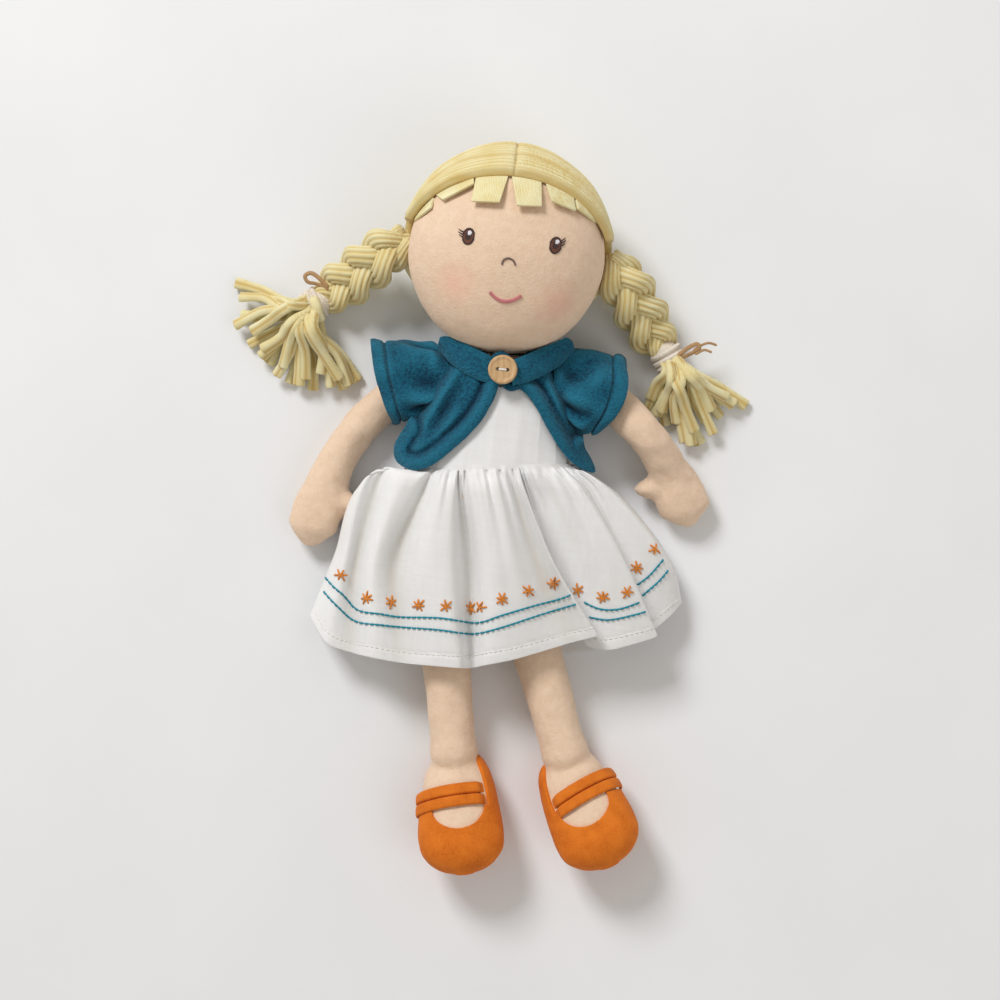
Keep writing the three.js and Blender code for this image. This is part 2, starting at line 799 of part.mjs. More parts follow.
function bodice() {
  const shell = torsoShell({ offset: bodiceOffset, wall: linenWall, ease: bodiceLoose });
  const neckline = prism(ovalOutline(0, neckSeam, necklineWidth / 2, necklineDrop), -overrun, overrun);
  const aboveShoulder = prism(boxOutline(neckSeam - necklineDrop / 5, 2 * overrun), -overrun, overrun);
  const armholes = [leftArmPose, rightArmPose].map(({ side, shoulderHeight }) => prism(
    ovalOutline(side * (torsoWidth / 2 + bodiceEase), shoulderHeight - armholeDrop, armholeWidth / 2, armholeHeight / 2),
    -overrun,
    overrun,
  ));
  return mainPart(without(shell, neckline, aboveShoulder, ...armholes, ...armCuts, belowWaist(0)));
}

// Outline that spans the whole width between two heights
function boxOutline(low, high, half = 3 * overrun) {
  return [[-half, low], [half, low], [half, high], [-half, high]];
}

// Skirt: a gathered tube of linen spread like a fan, with its main folds in the front layer
function skirtLayer(inset, reach) {
  const across = headingOf(waistTilt);
  const down = headingOf(waistTilt - 90);
  const waistHalf = (torsoWidth / 2) * valueAt(torsoWidthShares, shareAt(waistHeight)) + bodiceOffset + linenWall + bodiceEase;
  const low = skirtBackRise + inset;
  const rings = [];
  for (let i = 0; i <= skirtSteps; i += 1) {
    const share = -reach + ((1 + 2 * reach) * i) / skirtSteps;
    const inside = Math.min(Math.max(share, 0), 1);
    const gather = Math.min(inside / gatherShare, 1);
    const half = waistHalf + skirtGather * gather + (hemHalfWidth - waistHalf - skirtGather) * inside ** 0.8 - inset;
    const middle = torsoMiddle + (low + hemDepth * hemLiftShare - torsoMiddle) * inside ** 0.6;
    const topAtWaist = torsoMiddle + torsoDepth / 2 + bodiceOffset + linenWall + 1.5 * foldDepth * gather;
    const top = topAtWaist + (hemDepth - topAtWaist) * inside ** 1.4 - inset;
    const ring = [];
    for (let j = 0; j < skirtSides; j += 1) {
      const angle = (2 * Math.PI * j) / skirtSides;
      const u = Math.cos(angle);
      const edge = Math.sin(angle);
      const length = share * (skirtSideLength + hemDip * (1 - u ** 4));
      const point = new THREE.Vector3(hipShift, waistHeight, 0);
      point.addScaledVector(across, half * u).addScaledVector(down, length);
      const crown = Math.abs(edge) ** (1 - crownShare * gather);
      const fold = foldDepth * inside * Math.cos(foldCount * Math.PI * (u + gatherShare)) * crown;
      point.z = edge >= 0 ? middle + (top - middle) * crown + fold : middle - (middle - low) * crown;
      ring.push(point);
    }
    rings.push(ring);
  }
  return loft(rings);
}

function skirt() {
  return mainPart(without(skirtLayer(0, 0), skirtLayer(linenWall, liningShare), skinCut, ...armCuts, ...legCuts));
}

// Upright plane through a jacket front's fold line, as the half of space on its outer side
function outsideFold(side, gap) {
  const far = 2 * overrun;
  const slope = (hingeTopSpread - hingeFootSpread) / neckSeam;
  const at = (y) => side * (hingeFootSpread + slope * y + gap);
  return prism([[at(far), far], [at(-far), -far], [side * 2 * far, -far], [side * 2 * far, far]], -overrun, 2 * overrun);
}

function sleevePath(side, height, turn, cuffRise) {
  const start = new THREE.Vector3(side * sleeveRoot, height, torsoMiddle);
  const out = headingOf(turn);
  const cuffHeight = sleeveHalfDepth + seamGap + cuffRise;
  return (share) => {
    const point = start.clone().addScaledVector(out, sleeveLength * share);
    point.z = torsoMiddle + (cuffHeight - torsoMiddle) * Math.max(share, 0);
    return point;
  };
}

function sleeveShape(path, grow, reach) {
  return limb({
    path: (share) => path(-reach + (1 + 2 * reach) * share),
    halfAcross: (share) => sleeveHalfWidth * valueAt(sleeveWidthShares, share) + grow,
    halfUp: (share) => sleeveHalfDepth * valueAt(sleeveDepthShares, share) + grow,
    steps: sleeveSteps,
    sides: sleeveSides,
  });
}

// Stand collar between two angles, measured round the neck from the front
function collarBand({ from, to, lift }) {
  const rings = [];
  for (let i = 0; i <= collarSteps; i += 1) {
    const degrees = from + ((to - from) * i) / collarSteps;
    const side = Math.sin(turnOf(degrees));
    const front = Math.cos(turnOf(degrees));
    const forward = Math.max(front, 0);
    const raised = lift(degrees);
    const lower = new THREE.Vector3(
      (collarWidth / 2) * side,
      collarSeat - collarDrop * forward,
      torsoMiddle + (collarDepth / 2) * front + raised,
    );
    const upper = lower.clone();
    upper.y += collarHeight + collarChinRise * forward;
    const out = new THREE.Vector3(side, 0, front).normalize().multiplyScalar(velourWall);
    rings.push([lower, upper, upper.clone().add(out), lower.clone().add(out)]);
  }
  return loft(rings);
}

// Wooden button with a raised rim and two thread holes
function button(centre) {
  const half = buttonWidth / 2;
  const profile = [
    [0, 0], [half - buttonRim / 2, 0], [half, buttonHeight / 2], [half - buttonRim / 3, buttonHeight],
    [half - buttonRim, buttonHeight], [half - 2 * buttonRim, buttonHeight - buttonDish], [0, buttonHeight - buttonDish],
  ].map(([radius, y]) => new THREE.Vector2(radius, y));
  const disc = new THREE.LatheGeometry(profile, buttonSides).rotateX(Math.PI / 2);
  const holes = [-1, 1].map((side) => {
    const bore = new THREE.CylinderGeometry(buttonHole / 2, buttonHole / 2, 4 * buttonHeight, holeSides).rotateX(Math.PI / 2);
    return toSolid(bore.translate((side * buttonHolePitch) / 2, 0, 0));
  });
  return without(toSolid(disc), ...holes).translate([centre.x, centre.y, centre.z]);
}

// Body, head and limbs
const skinCut = torsoShape({ growWidth: seamGap, growDepth: seamGap }).add(prism(ovalOutline(0, neckSeam, neckWidth / 2, seamGap), 0, 2 * torsoMiddle));
const torso = torsoShape();
const head = headShape(0);
const neckTube = limb({
  path: (share) => new THREE.Vector3(neckShift, neckSeam + seamGap + neckLength * share, torsoMiddle),
  halfAcross: () => neckWidth / 2,
  halfUp: () => neckDepth / 2,
  steps: neckSteps,
  sides: torsoSides,
});
const neck = mainPart(neckTube.subtract(headShape(seamGap)));

const leftArmPose = {
  side: -1,
  shoulderHeight: leftShoulderHeight,
  turn: leftArmDegrees,
  reachShare: 1,
  thumbTurn: leftThumbDegrees,
};
const rightArmPose = {
  side: 1,
  shoulderHeight: rightShoulderHeight,
  turn: rightArmDegrees,
  reachShare: rightArmReachShare,
  thumbTurn: rightThumbDegrees,
};
const leftLegPose = { side: -1, turn: leftLegDegrees, footTurn: leftFootDegrees };
const rightLegPose = { side: 1, turn: rightLegDegrees, footTurn: rightFootDegrees };
const armCuts = [leftArmPose, rightArmPose].map((pose) => arm({ ...pose, grow: seamGap }));
const legCuts = [leftLegPose, rightLegPose].map((pose) => shank(pose, seamGap));

// Shoulder and hip ends are hollowed so that each limb folds on its flat seam clear of the torso
const foldRoom = torsoShape({ growWidth: 2 * seamGap, growDepth: 2 * seamGap });
function folded(limbSolid, pivot, axis, angles) {
  return mainPart(without(limbSolid, skinCut, ...angles.map((degrees) => turnedAbout(foldRoom, pivot, axis, -degrees))));
}

function foldedArm(pose) {
  const start = new THREE.Vector3(pose.side * (torsoWidth / 2 - shoulderInset), pose.shoulderHeight, torsoMiddle);
  const away = new THREE.Vector3(pose.side * Math.sin(turnOf(pose.turn[0])), -Math.cos(turnOf(pose.turn[0])), 0);
  const axis = new THREE.Vector3().crossVectors(away, new THREE.Vector3(0, 0, 1)).normalize();
  return folded(arm(pose), start.addScaledVector(away, shoulderSeat), axis, armFoldDegrees);
}

function foldedLeg(pose) {
  const pivot = new THREE.Vector3(hipShift + pose.side * hipSpread, -hipSeam, torsoMiddle);
  return folded(aboveFloor(shank(pose, 0).add(foot(pose, 0))), pivot, new THREE.Vector3(-1, 0, 0), legFoldDegrees);
}

// Shoes
const shoeLeft = shoe(leftLegPose);
const shoeRight = shoe(rightLegPose);

// Jacket
const jacketShell = torsoShell({ offset: jacketOffset, wall: velourWall, ease: jacketLoose });
const jacketGrow = jacketOffset + velourWall + seamGap;
const jacketOuter = torsoShape({ growWidth: jacketGrow, growDepth: jacketGrow, ease: jacketLoose });
const leftSleevePath = sleevePath(-1, leftSleeveHeight, leftSleeveDegrees, 0);
const rightSleevePath = sleevePath(1, rightSleeveHeight, rightSleeveDegrees, rightCuffRise);
const collarGrow = velourWall + seamGap;
const collarFootprint = prism(boxOutline(collarSeat - collarDrop / 2 - collarGrow, 2 * overrun, collarWidth / 2 + collarGrow), -overrun, overrun);
const sleeveOf = (path, armCut) => mainPart(aboveFloor(without(
  sleeveShape(path, 0, 0),
  sleeveShape(path, -velourWall, sleeveOverShare),
  jacketOuter,
  collarFootprint,
  armCut,
)));
const armholeCuts = [leftSleevePath, rightSleevePath].map((path) => sleeveShape(path, -velourWall, 0));
const neckHole = prism(ovalOutline(0, neckSeam, collarWidth / 2 - 3 * velourWall, neckSeam - collarSeat + collarDrop - velourWall), -overrun, 2 * overrun);
const shoulderLine = neckSeam - seamGap;
const backRegion = prism(boxOutline(jacketBackHem, shoulderLine), -overrun, torsoMiddle);
const frontOutlines = [leftFrontShares, rightFrontShares].map((shares) => shares.map(([x, y]) => [frontReach * x, neckSeam * y]));
const frontRegions = frontOutlines.map((outline) => prism(outline, torsoMiddle, 2 * overrun)
  .intersect(prism(boxOutline(-overrun, shoulderLine), 0, 2 * overrun)));
const sideRegions = [-1, 1].map((side, index) => frontRegions[index].intersect(outsideFold(side, seamGap)));
const jacketBack = mainPart(aboveFloor(without(
  jacketShell.intersect(joined([backRegion, ...sideRegions])),
  neckHole,
  ...armholeCuts,
  ...armCuts,
)));
const frontPanel = (index, side) => mainPart(without(
  jacketShell.intersect(frontRegions[index]),
  outsideFold(side, 0),
  neckHole,
  ...armholeCuts,
  ...armCuts,
));

// Collar in three lengths, lapped at the front under the button
const collarLift = velourWall + 2 * padWall + 3 * seamGap;
const lapDegrees = THREE.MathUtils.radToDeg((2 * collarLap) / collarWidth);
const noLift = () => 0;
const lapLift = (degrees) => collarLift * Math.max(1 - Math.max(degrees - lapDegrees, 0) / (4 * lapDegrees), 0);
const collarCuts = [headShape(seamGap), skinCut, jacketOuter, ...armCuts];
const collarLeft = mainPart(without(
  collarBand({ from: -foldDegrees, to: lapDegrees, lift: noLift }), outsideFold(-1, 0), ...collarCuts,
));
const collarRight = mainPart(without(
  collarBand({ from: -lapDegrees, to: foldDegrees, lift: lapLift }), outsideFold(1, 0), ...collarCuts,
));
const behindNeck = prism(boxOutline(-overrun, 2 * overrun), -overrun, torsoMiddle);
const collarBack = mainPart(aboveFloor(without(
  collarBand({ from: foldDegrees / 2, to: fullTurnDegrees - foldDegrees / 2, lift: noLift })
    .intersect(joined([behindNeck, outsideFold(-1, seamGap), outsideFold(1, seamGap)])),
  ...collarCuts,
)));
const lapFront = torsoMiddle + collarDepth / 2 + velourWall;
const lapHeight = collarSeat - collarDrop + collarHeight / 3;
const padAt = (bottom) => toSolid(new THREE.BoxGeometry(padWidth, padHeight, padWall).translate(0, lapHeight, bottom + padWall / 2));
const buttonCentre = new THREE.Vector3(0, lapHeight, lapFront + collarLift + seamGap);

// Braids
const rootLeft = new THREE.Vector3(headCentre.x - headWidth / 2 - rootOut, headCentre.y, 0);
const rootRight = new THREE.Vector3(headCentre.x + headWidth / 2 + rootOut, headCentre.y, 0);
const leftBraid = braidPath(rootLeft, leftBraidDegrees);
const rightBraid = braidPath(rootRight, rightBraidDegrees);

// Materials
const skin = new THREE.MeshStandardMaterial({ name: 'skin_velour', color: 0xe2bd9e, roughness: 0.9, metalness: 0 });
const hair = new THREE.MeshStandardMaterial({ name: 'hair_jersey', color: 0xeddb94, roughness: 0.88, metalness: 0 });
const velour = new THREE.MeshStandardMaterial({ name: 'teal_velour', color: 0x0f546e, roughness: 0.85, metalness: 0 });
const linen = new THREE.MeshStandardMaterial({ name: 'white_linen', color: 0xede8e0, roughness: 0.92, metalness: 0 });
const suede = new THREE.MeshStandardMaterial({ name: 'shoe_suede', color: 0xcc661a, roughness: 0.9, metalness: 0 });
const wood = new THREE.MeshStandardMaterial({ name: 'button_wood', color: 0xc78f52, roughness: 0.55, metalness: 0 });
const ribbon = new THREE.MeshStandardMaterial({ name: 'tie_ribbon', color: 0xf0e6d0, roughness: 0.85, metalness: 0 });

// Scene graph
const doll = new THREE.Group();

function addPiece(group, name, solid, material) {
  const mesh = new THREE.Mesh(toGeometry(solid), material);
  mesh.name = name;
  group.add(mesh);
}

function addBody() {
  const group = new THREE.Group();
  addPiece(group, 'torso', torso, skin);
  addPiece(group, 'neck', neck, skin);
  addPiece(group, 'arm_left', foldedArm(leftArmPose), skin);
  addPiece(group, 'arm_right', foldedArm(rightArmPose), skin);
  addPiece(group, 'leg_left', foldedLeg(leftLegPose), skin);
  addPiece(group, 'leg_right', foldedLeg(rightLegPose), skin);
  doll.add(group);
}

function addHead() {
  const group = new THREE.Group();
  addPiece(group, 'head', head, skin);
  addPiece(group, 'hair_left', hairCap(-1), hair);
  addPiece(group, 'hair_right', hairCap(1), hair);
  addPiece(group, 'fringe', fringe(), hair);
  doll.add(group);
}

function addBraid(name, path, heading, rows) {
  const group = new THREE.Group();
  plait(path).forEach((strand, index) => addPiece(group, `braid_${name}_strand_${index + 1}`, strand, hair));
  addPiece(group, `braid_${name}_tie`, hairTie(path), ribbon);
  addPiece(group, `braid_${name}_tassel`, tassel(path, heading, rows), hair);
  doll.add(group);
}

function addShoes() {
  const group = new THREE.Group();
  for (const [name, pieces] of [['left', shoeLeft], ['right', shoeRight]]) {
    addPiece(group, `shoe_${name}_upper`, pieces.upper, suede);
    addPiece(group, `shoe_${name}_sole`, pieces.sole, suede);
    addPiece(group, `shoe_${name}_strap`, pieces.band, suede);
  }
  doll.add(group);
}

function addDress() {
  const group = new THREE.Group();
  addPiece(group, 'dress_bodice', bodice(), linen);
  addPiece(group, 'dress_skirt', skirt(), linen);
  doll.add(group);
}

function addJacket() {
  const group = new THREE.Group();
  addPiece(group, 'jacket_back', jacketBack, velour);
  addPiece(group, 'jacket_front_left', frontPanel(0, -1), velour);
  addPiece(group, 'jacket_front_right', frontPanel(1, 1), velour);
  addPiece(group, 'sleeve_left', sleeveOf(leftSleevePath, armCuts[0]), velour);
  addPiece(group, 'sleeve_right', sleeveOf(rightSleevePath, armCuts[1]), velour);
  addPiece(group, 'collar_left', collarLeft, velour);
  addPiece(group, 'collar_right', collarRight, velour);
  addPiece(group, 'collar_back', collarBack, velour);
  addPiece(group, 'closure_loop_pad', padAt(lapFront + seamGap), ribbon);
  addPiece(group, 'closure_hook_pad', padAt(lapFront + collarLift - velourWall - seamGap - padWall), ribbon);
  addPiece(group, 'button', button(buttonCentre), wood);
  doll.add(group);
}

addBody();
addHead();
addBraid('left', leftBraid, leftTasselDegrees, leftTasselShares);
addBraid('right', rightBraid, rightTasselDegrees, rightTasselShares);
addShoes();
addDress();
addJacket();

export default doll;
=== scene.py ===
import math

import bmesh
import bpy
import numpy as np
from mathutils import Matrix, Vector, noise
from mathutils.bvhtree import BVHTree
from mathutils.geometry import delaunay_2d_cdt


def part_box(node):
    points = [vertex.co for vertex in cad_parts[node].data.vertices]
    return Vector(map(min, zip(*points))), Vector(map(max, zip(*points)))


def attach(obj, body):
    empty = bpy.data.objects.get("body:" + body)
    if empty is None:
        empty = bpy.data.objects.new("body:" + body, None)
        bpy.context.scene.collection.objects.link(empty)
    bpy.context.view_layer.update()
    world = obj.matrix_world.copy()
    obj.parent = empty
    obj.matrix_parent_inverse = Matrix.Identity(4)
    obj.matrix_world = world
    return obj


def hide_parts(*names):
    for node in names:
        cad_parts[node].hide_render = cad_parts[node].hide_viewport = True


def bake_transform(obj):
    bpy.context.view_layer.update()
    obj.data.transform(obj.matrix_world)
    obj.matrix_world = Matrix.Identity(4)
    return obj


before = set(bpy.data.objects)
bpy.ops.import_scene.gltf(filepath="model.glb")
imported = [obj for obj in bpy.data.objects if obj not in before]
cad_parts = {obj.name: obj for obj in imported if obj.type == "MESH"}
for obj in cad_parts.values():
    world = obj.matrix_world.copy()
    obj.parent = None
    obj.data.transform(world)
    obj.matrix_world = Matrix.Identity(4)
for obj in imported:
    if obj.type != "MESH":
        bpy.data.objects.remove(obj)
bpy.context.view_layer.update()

# Soft cloth doll lying on its back. Lengths are in millimetres until a mesh is made, which turns them to metres.
MM = 0.001
UP = Vector((0, 0, 1))
SIGN = {"left": -1, "right": 1}

# Cloth and clearances
SEAM_GAP = 0.35
LINEN_WALL = 1.0
VELOUR_WALL = 1.6
FLOOR_CUT = 0.5

# Torso, with its widths and depths as shares along it
TORSO_LENGTH = 102.0
TORSO_WIDTH = 76.0
TORSO_DEPTH = 42.0
NECK_SEAM = 46.0
HIP_SHIFT = -6.0
TORSO_WIDTHS = [(0, 0.42), (0.05, 0.74), (0.12, 0.9), (0.35, 0.93), (0.65, 0.98), (0.85, 1), (0.95, 0.9), (1, 0.72)]
TORSO_DEPTHS = [(0, 0.54), (0.07, 0.72), (0.18, 0.92), (0.4, 1), (0.65, 1), (0.8, 0.84), (0.9, 0.56), (1, 0.1)]
BODICE_GROW = SEAM_GAP + LINEN_WALL
JACKET_GROW = 2 * SEAM_GAP + LINEN_WALL + VELOUR_WALL
TORSO_MIDDLE = JACKET_GROW - FLOOR_CUT + TORSO_DEPTH / 2

# Head and hair; hairline, nape and the braids' roots are angles on the head, eyes and cheeks are pixels
HEAD_WIDTH = 103.0
HEAD_HEIGHT = 102.0
HEAD_DEPTH = 74.0
HAIR_DEPTH = 3.0
RIB_DEPTH = 0.9
HEAD_CENTRE = Vector((-4.3, NECK_SEAM + 51.4, HAIR_DEPTH + RIB_DEPTH - FLOOR_CUT + HEAD_DEPTH / 2))
HAIRLINE = 41.0
NAPE = 222.0
HAIR_ROOT = 76.0
HAIR_RIBS = 58
RIBS_IN_STRAND = 5
FRINGE_LIFT = 3.4
FRINGE_WALL = 1.2
EYES = {"left": (468.6, 236.4), "right": (555.4, 245.4)}
EYE_HALF_WIDTH = 6.0
EYE_HALF_HEIGHT = 8.0
STITCH_STEP = 0.88
CHEEKS = ((455, 283), (557, 304))

# Braids
BRAID_LENGTH = 52.0
BRAID_HEADINGS = {"left": 219.0, "right": 309.0}
ROOT_HEIGHT = 33.0
TIE_HEIGHT = 9.4
TIE_RADIUS = 7.4
BRAID_TURNS = 1.2
BRAID_SWING = 7.4
BRAID_RISE = 4.5
STRAND_WIDE = 6.1
STRAND_HIGH = 4.7
STRAND_RIBS = 10
BRAID_TAPER = [(0, 0.62), (0.16, 1), (0.8, 1), (1, 0.6)]

# Limbs: each leg has its own turn and its foot another
LEG_LENGTH = 124.0
LEG_WIDTH = 27.0
HIP_SEAM = 57.0
HIP_SPREAD = 19.0
# How far each arm is drawn to the doll, from none to all of it down its body
ARM_PULLS = {"left": ((-1.2, 2.5, 0), 42, 8), "right": ((-3.6, 3.2, 0), -12, 30)}
LEG_TURNS = {"left": (10.5, 12.0), "right": (21.5, 30.0)}
FOOT_LENGTH = 64.0
FOOT_WIDTH = 41.0
FOOT_DEPTH = 27.0
FOOT_PITCH = 20.0
FOOT_WIDTHS = [(0, 0.3), (0.06, 0.62), (0.2, 0.82), (0.5, 0.96), (0.74, 1), (0.9, 0.8), (1, 0.26)]
FOOT_DEPTHS = [(0, 0.3), (0.06, 0.66), (0.2, 0.94), (0.5, 1), (0.74, 0.92), (0.9, 0.66), (1, 0.2)]
TOE_START = 0.74
HEEL_BACK = 13.0

# Shoes: places are shares of the foot; a strap has its first and last angle and its slant
SHOE_GROW = SEAM_GAP + 1.5
THROAT_LENGTH = 11.5
THROAT_WIDTH = 27.0
THROAT_PLACE = 0.495
TOP_LINE_TILT = 26.0
TOP_LINE_BACK = {"left": 0.5, "right": 0.525}
TOP_LINE_LIFT = 1.6
SOLE_DROP = 0.62
STRAP_PLACE = 0.405
STRAP_HALF = 6.0
STRAP_WALL = 1.2
STRAP_ENDS = {"left": (-14, 136, 0.012), "right": (44, 198, 0.04)}

# Garments
WAIST = -17.0
WAIST_TILT = 8.0
BODICE_EASE = 5.0
JACKET_EASE = 9.0
JACKET_HEM = -8.0
HEM_DIP = 31.0
HEM_DEPTH = 38.0
HEM_SEAM = 5.6
SKIRT_LENGTH = 97
CROWN_POWER = 0.375
FOLD_LINE = ((32.0, 46.0), (43.0, 0.0))
SKIRT_WALL = 0.75
PANEL_STEP = 1.5
CUFF_SEAM = 0.8
SLEEVE_SIDES = 96
COLLAR_HALF = 38.5
COLLAR_FRONT = 25.2
COLLAR_WALL = 2.4

# Camera over the doll, and the floor's scale in the photograph
CAMERA = Vector((5.57, -30.99, 1100.0))
CAMERA_ROLL = 6.0
FLOOR_MM_PER_PIXEL = 0.535
ORIGIN_PIXEL = (495.7, 441.3)
FLOOR_HALF = 4000.0
# Each lamp's place, its size in metres and its power in watts
LAMPS = {"window_light": ((-1.3, 1.6, 1.8), 0.8, 50.0), "side_fill": ((1.6, -0.9, 1.8), 1.5, 8.0)}


# Small sums
def shares(count):
    return [i / count for i in range(count + 1)]


def turns(count, first=0):
    return [2 * math.pi * (k + first) / count for k in range(count)]


def value_at(table, place):
    """Value at a place of a table of (place, value) rows, on a smooth curve through them."""
    places = [p for p, _ in table]
    if place <= places[0]:
        return table[0][1]
    if place >= places[-1]:
        return table[-1][1]
    row = next(i for i, p in enumerate(places) if p > place) - 1

    def slope(i):
        a, b = table[max(i - 1, 0)], table[min(i + 1, len(table) - 1)]
        return (b[1] - a[1]) / (b[0] - a[0])

    (x0, y0), (x1, y1) = table[row], table[row + 1]
    span, rise = x1 - x0, y1 - y0
    u = (place - x0) / span
    m0, m1 = slope(row) * span, slope(row + 1) * span
    return y0 + u * m0 + u * u * (3 * rise - 2 * m0 - m1) + u**3 * (m0 + m1 - 2 * rise)


def tables_of(rows):
    """One (share, value) table for each column of evenly spaced rows."""
    return [list(zip(shares(len(rows) - 1), column)) for column in zip(*rows)]


def around(items, i):
    """Four neighbours of the gap after an item, with the ends repeated."""
    return [items[min(max(i + k, 0), len(items) - 1)] for k in (-1, 0, 1, 2)]


def spline(four, t):
    a, b, c, d = four
    return 0.5 * ((2 * b) + (c - a) * t + (2 * a - 5 * b + 4 * c - d) * t**2 + (3 * b - a - 3 * c + d) * t**3)


def rounded(points, times):
    """Smooth curve through points."""
    gaps = range(len(points) - 1)
    return [*[spline(around(points, i), k / times) for i in gaps for k in range(times)], points[-1].copy()]


def spaced(points, step):
    """Points at even steps along a line."""
    out = [points[0].copy()]
    left = step
    for a, b in zip(points, points[1:]):
        length = (b - a).length
        done = 0.0
        while length - done >= left:
            done += left
            out.append(a.lerp(b, done / length))
            left = step
        left -= length - done
    return out


def flat(pairs):
    return [Vector((x, y, 0)) for x, y in pairs]


def heading(degrees):
    return Vector((math.cos(math.radians(degrees)), math.sin(math.radians(degrees)), 0))


def crossing(along):
    """Level direction across another one, and the direction that stands on both."""
    across = along.cross(UP).normalized()
    return across, across.cross(along)


def frames_along(path):
    """Each point of a path with its direction and the two across it, carried on without a twist."""
    last = len(path) - 1
    frames = []
    side = None
    for i, centre in enumerate(path):
        along = (path[min(i + 1, last)] - path[max(i - 1, 0)]).normalized()
        if side is None:
            side = along.cross(UP)
            side = side.normalized() if side.length > 1e-6 else Vector((1, 0, 0))
        side = (side - along * side.dot(along)).normalized()
        frames.append((centre, along, side, side.cross(along)))
    return frames


def smooth(x, low=0.0, high=1.0):
    t = min(max((x - low) / (high - low), 0.0), 1.0)
    return t * t * (3 - 2 * t)


def bump_at(x, middle, half):
    return math.exp(-(((x - middle) / half) ** 2))


def ripple(point, size, seed=0.0):
    return noise.noise(Vector(point) / size + Vector((seed, seed * 0.7, seed * 0.3)))


def floor_point(px, py):
    x = (px - ORIGIN_PIXEL[0]) * FLOOR_MM_PER_PIXEL
    y = (ORIGIN_PIXEL[1] - py) * FLOOR_MM_PER_PIXEL
    turn = math.radians(CAMERA_ROLL)
    return Vector((x * math.cos(turn) - y * math.sin(turn), x * math.sin(turn) + y * math.cos(turn), 0))


def placed(px, py, z):
    """Point at a height that shows at a pixel of the photograph."""
    floor = floor_point(px, py)
    return floor + (CAMERA - floor) * (z / CAMERA.z)


def seen_at(tree, px, py, lift=0.0):
    """Point of a surface that shows at a pixel of the photograph, raised along the surface's normal."""
    place, normal, _, _ = tree.ray_cast(CAMERA, (floor_point(px, py) - CAMERA).normalized())
    if place is None:
        return None
    return place + (-normal if normal.z < 0 else normal) * lift


# Meshes
def added(name, data):
    obj = bpy.data.objects.new(name, data)
    bpy.context.scene.collection.objects.link(obj)
    return obj


class Parts:
    """Points and faces of one mesh, gathered shape by shape."""

    def __init__(self):
        self.points = []
        self.faces = []

    def grid(self, rows, closed=False, caps=False):
        first, count = len(self.points), len(rows[0])
        for row in rows:
            self.points.extend(row)
        for i in range(len(rows) - 1):
            a, b = first + i * count, first + (i + 1) * count
            for j in range(count if closed else count - 1):
                k = (j + 1) % count
                self.faces.append((a + j, a + k, b + k, b + j))
        if caps:
            last = first + (len(rows) - 1) * count
            self.faces.append(tuple(range(first + count - 1, first - 1, -1)))
            self.faces.append(tuple(range(last, last + count)))
        return self

    def tube(self, path, radius, sides=10, squeeze=1.0):
        """Round-ended tube along points; radius is a number or a function of the share along it."""
        last = len(path) - 1
        ends = {0: ((0.45, -0.75), (0.85, -0.35), (1, 0)), last: ((1, 0), (0.85, 0.35), (0.45, 0.75))}
        rings = []
        for i, (centre, along, side, up) in enumerate(frames_along(path)):
            r = radius(i / last) if callable(radius) else radius
            ring = [side * math.cos(t) * r + up * math.sin(t) * r * squeeze for t in turns(sides)]
            rings.extend([centre + off * k + along * (r * out) for off in ring] for k, out in ends.get(i, ((1, 0),)))
        return self.grid(rings, closed=True, caps=True)

    def make(self, name, material):
        mesh = bpy.data.meshes.new(name)
        mesh.from_pydata([tuple(c * MM for c in p) for p in self.points], [], self.faces)
        mesh.materials.append(material)
        turned = bmesh.new()
        turned.from_mesh(mesh)
        bmesh.ops.recalc_face_normals(turned, faces=turned.faces)
        turned.to_mesh(mesh)
        turned.free()
        for face in mesh.polygons:
            face.use_smooth = True
        return added(name, mesh)


def painted(obj, material):
    obj.data.materials.clear()
    obj.data.materials.append(material)
    return obj


def baked(obj, *modifiers):
    """Adds modifiers given as (type, settings) and applies them all."""
    for kind, settings in modifiers:
        modifier = obj.modifiers.new(kind.lower(), kind)
        for key, value in settings.items():
            setattr(modifier, key, value)
    bpy.context.view_layer.update()
    graph = bpy.context.evaluated_depsgraph_get()
    fresh = bpy.data.meshes.new_from_object(obj.evaluated_get(graph))
    old = obj.data
    obj.modifiers.clear()
    obj.data = fresh
    fresh.name = obj.name
    bpy.data.meshes.remove(old)
    for face in fresh.polygons:
        face.use_smooth = True
    return obj


def remeshed(obj, material, voxel, rounds, *more):
    """Evenly meshed and softened at its edges."""
    steps = [("REMESH", {"mode": "VOXEL", "voxel_size": voxel * MM}), ("SMOOTH", {"factor": 0.5, "iterations": rounds})]
    return painted(baked(obj, *steps, *more), material)


def copied(name, node, material):
    """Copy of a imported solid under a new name."""
    return painted(added(name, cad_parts[node].data.copy()), material)


def cut_by(obj, tools):
    for tool in tools:
        baked(obj, ("BOOLEAN", {"operation": "DIFFERENCE", "object": tool, "solver": "EXACT"}))
        bpy.data.objects.remove(tool)


def thick(obj, wall, offset=-1.0):
    bevel = {"width": wall * 0.3 * MM, "segments": 2, "limit_method": "ANGLE", "angle_limit": 1.0}
    return baked(obj, ("SOLIDIFY", {"thickness": wall * MM, "offset": offset}), ("BEVEL", bevel))


def moved(obj, shift):
    """Moves each point of a mesh by shift(point, normal), in millimetres."""
    mesh = obj.data
    normals = [v.normal.copy() for v in mesh.vertices]
    for vertex, normal in zip(mesh.vertices, normals):
        vertex.co = shift(vertex.co / MM, normal) * MM
    mesh.update()
    return obj


def kept_above(obj, low):
    return moved(obj, lambda p, n: Vector((p.x, p.y, max(p.z, low))))


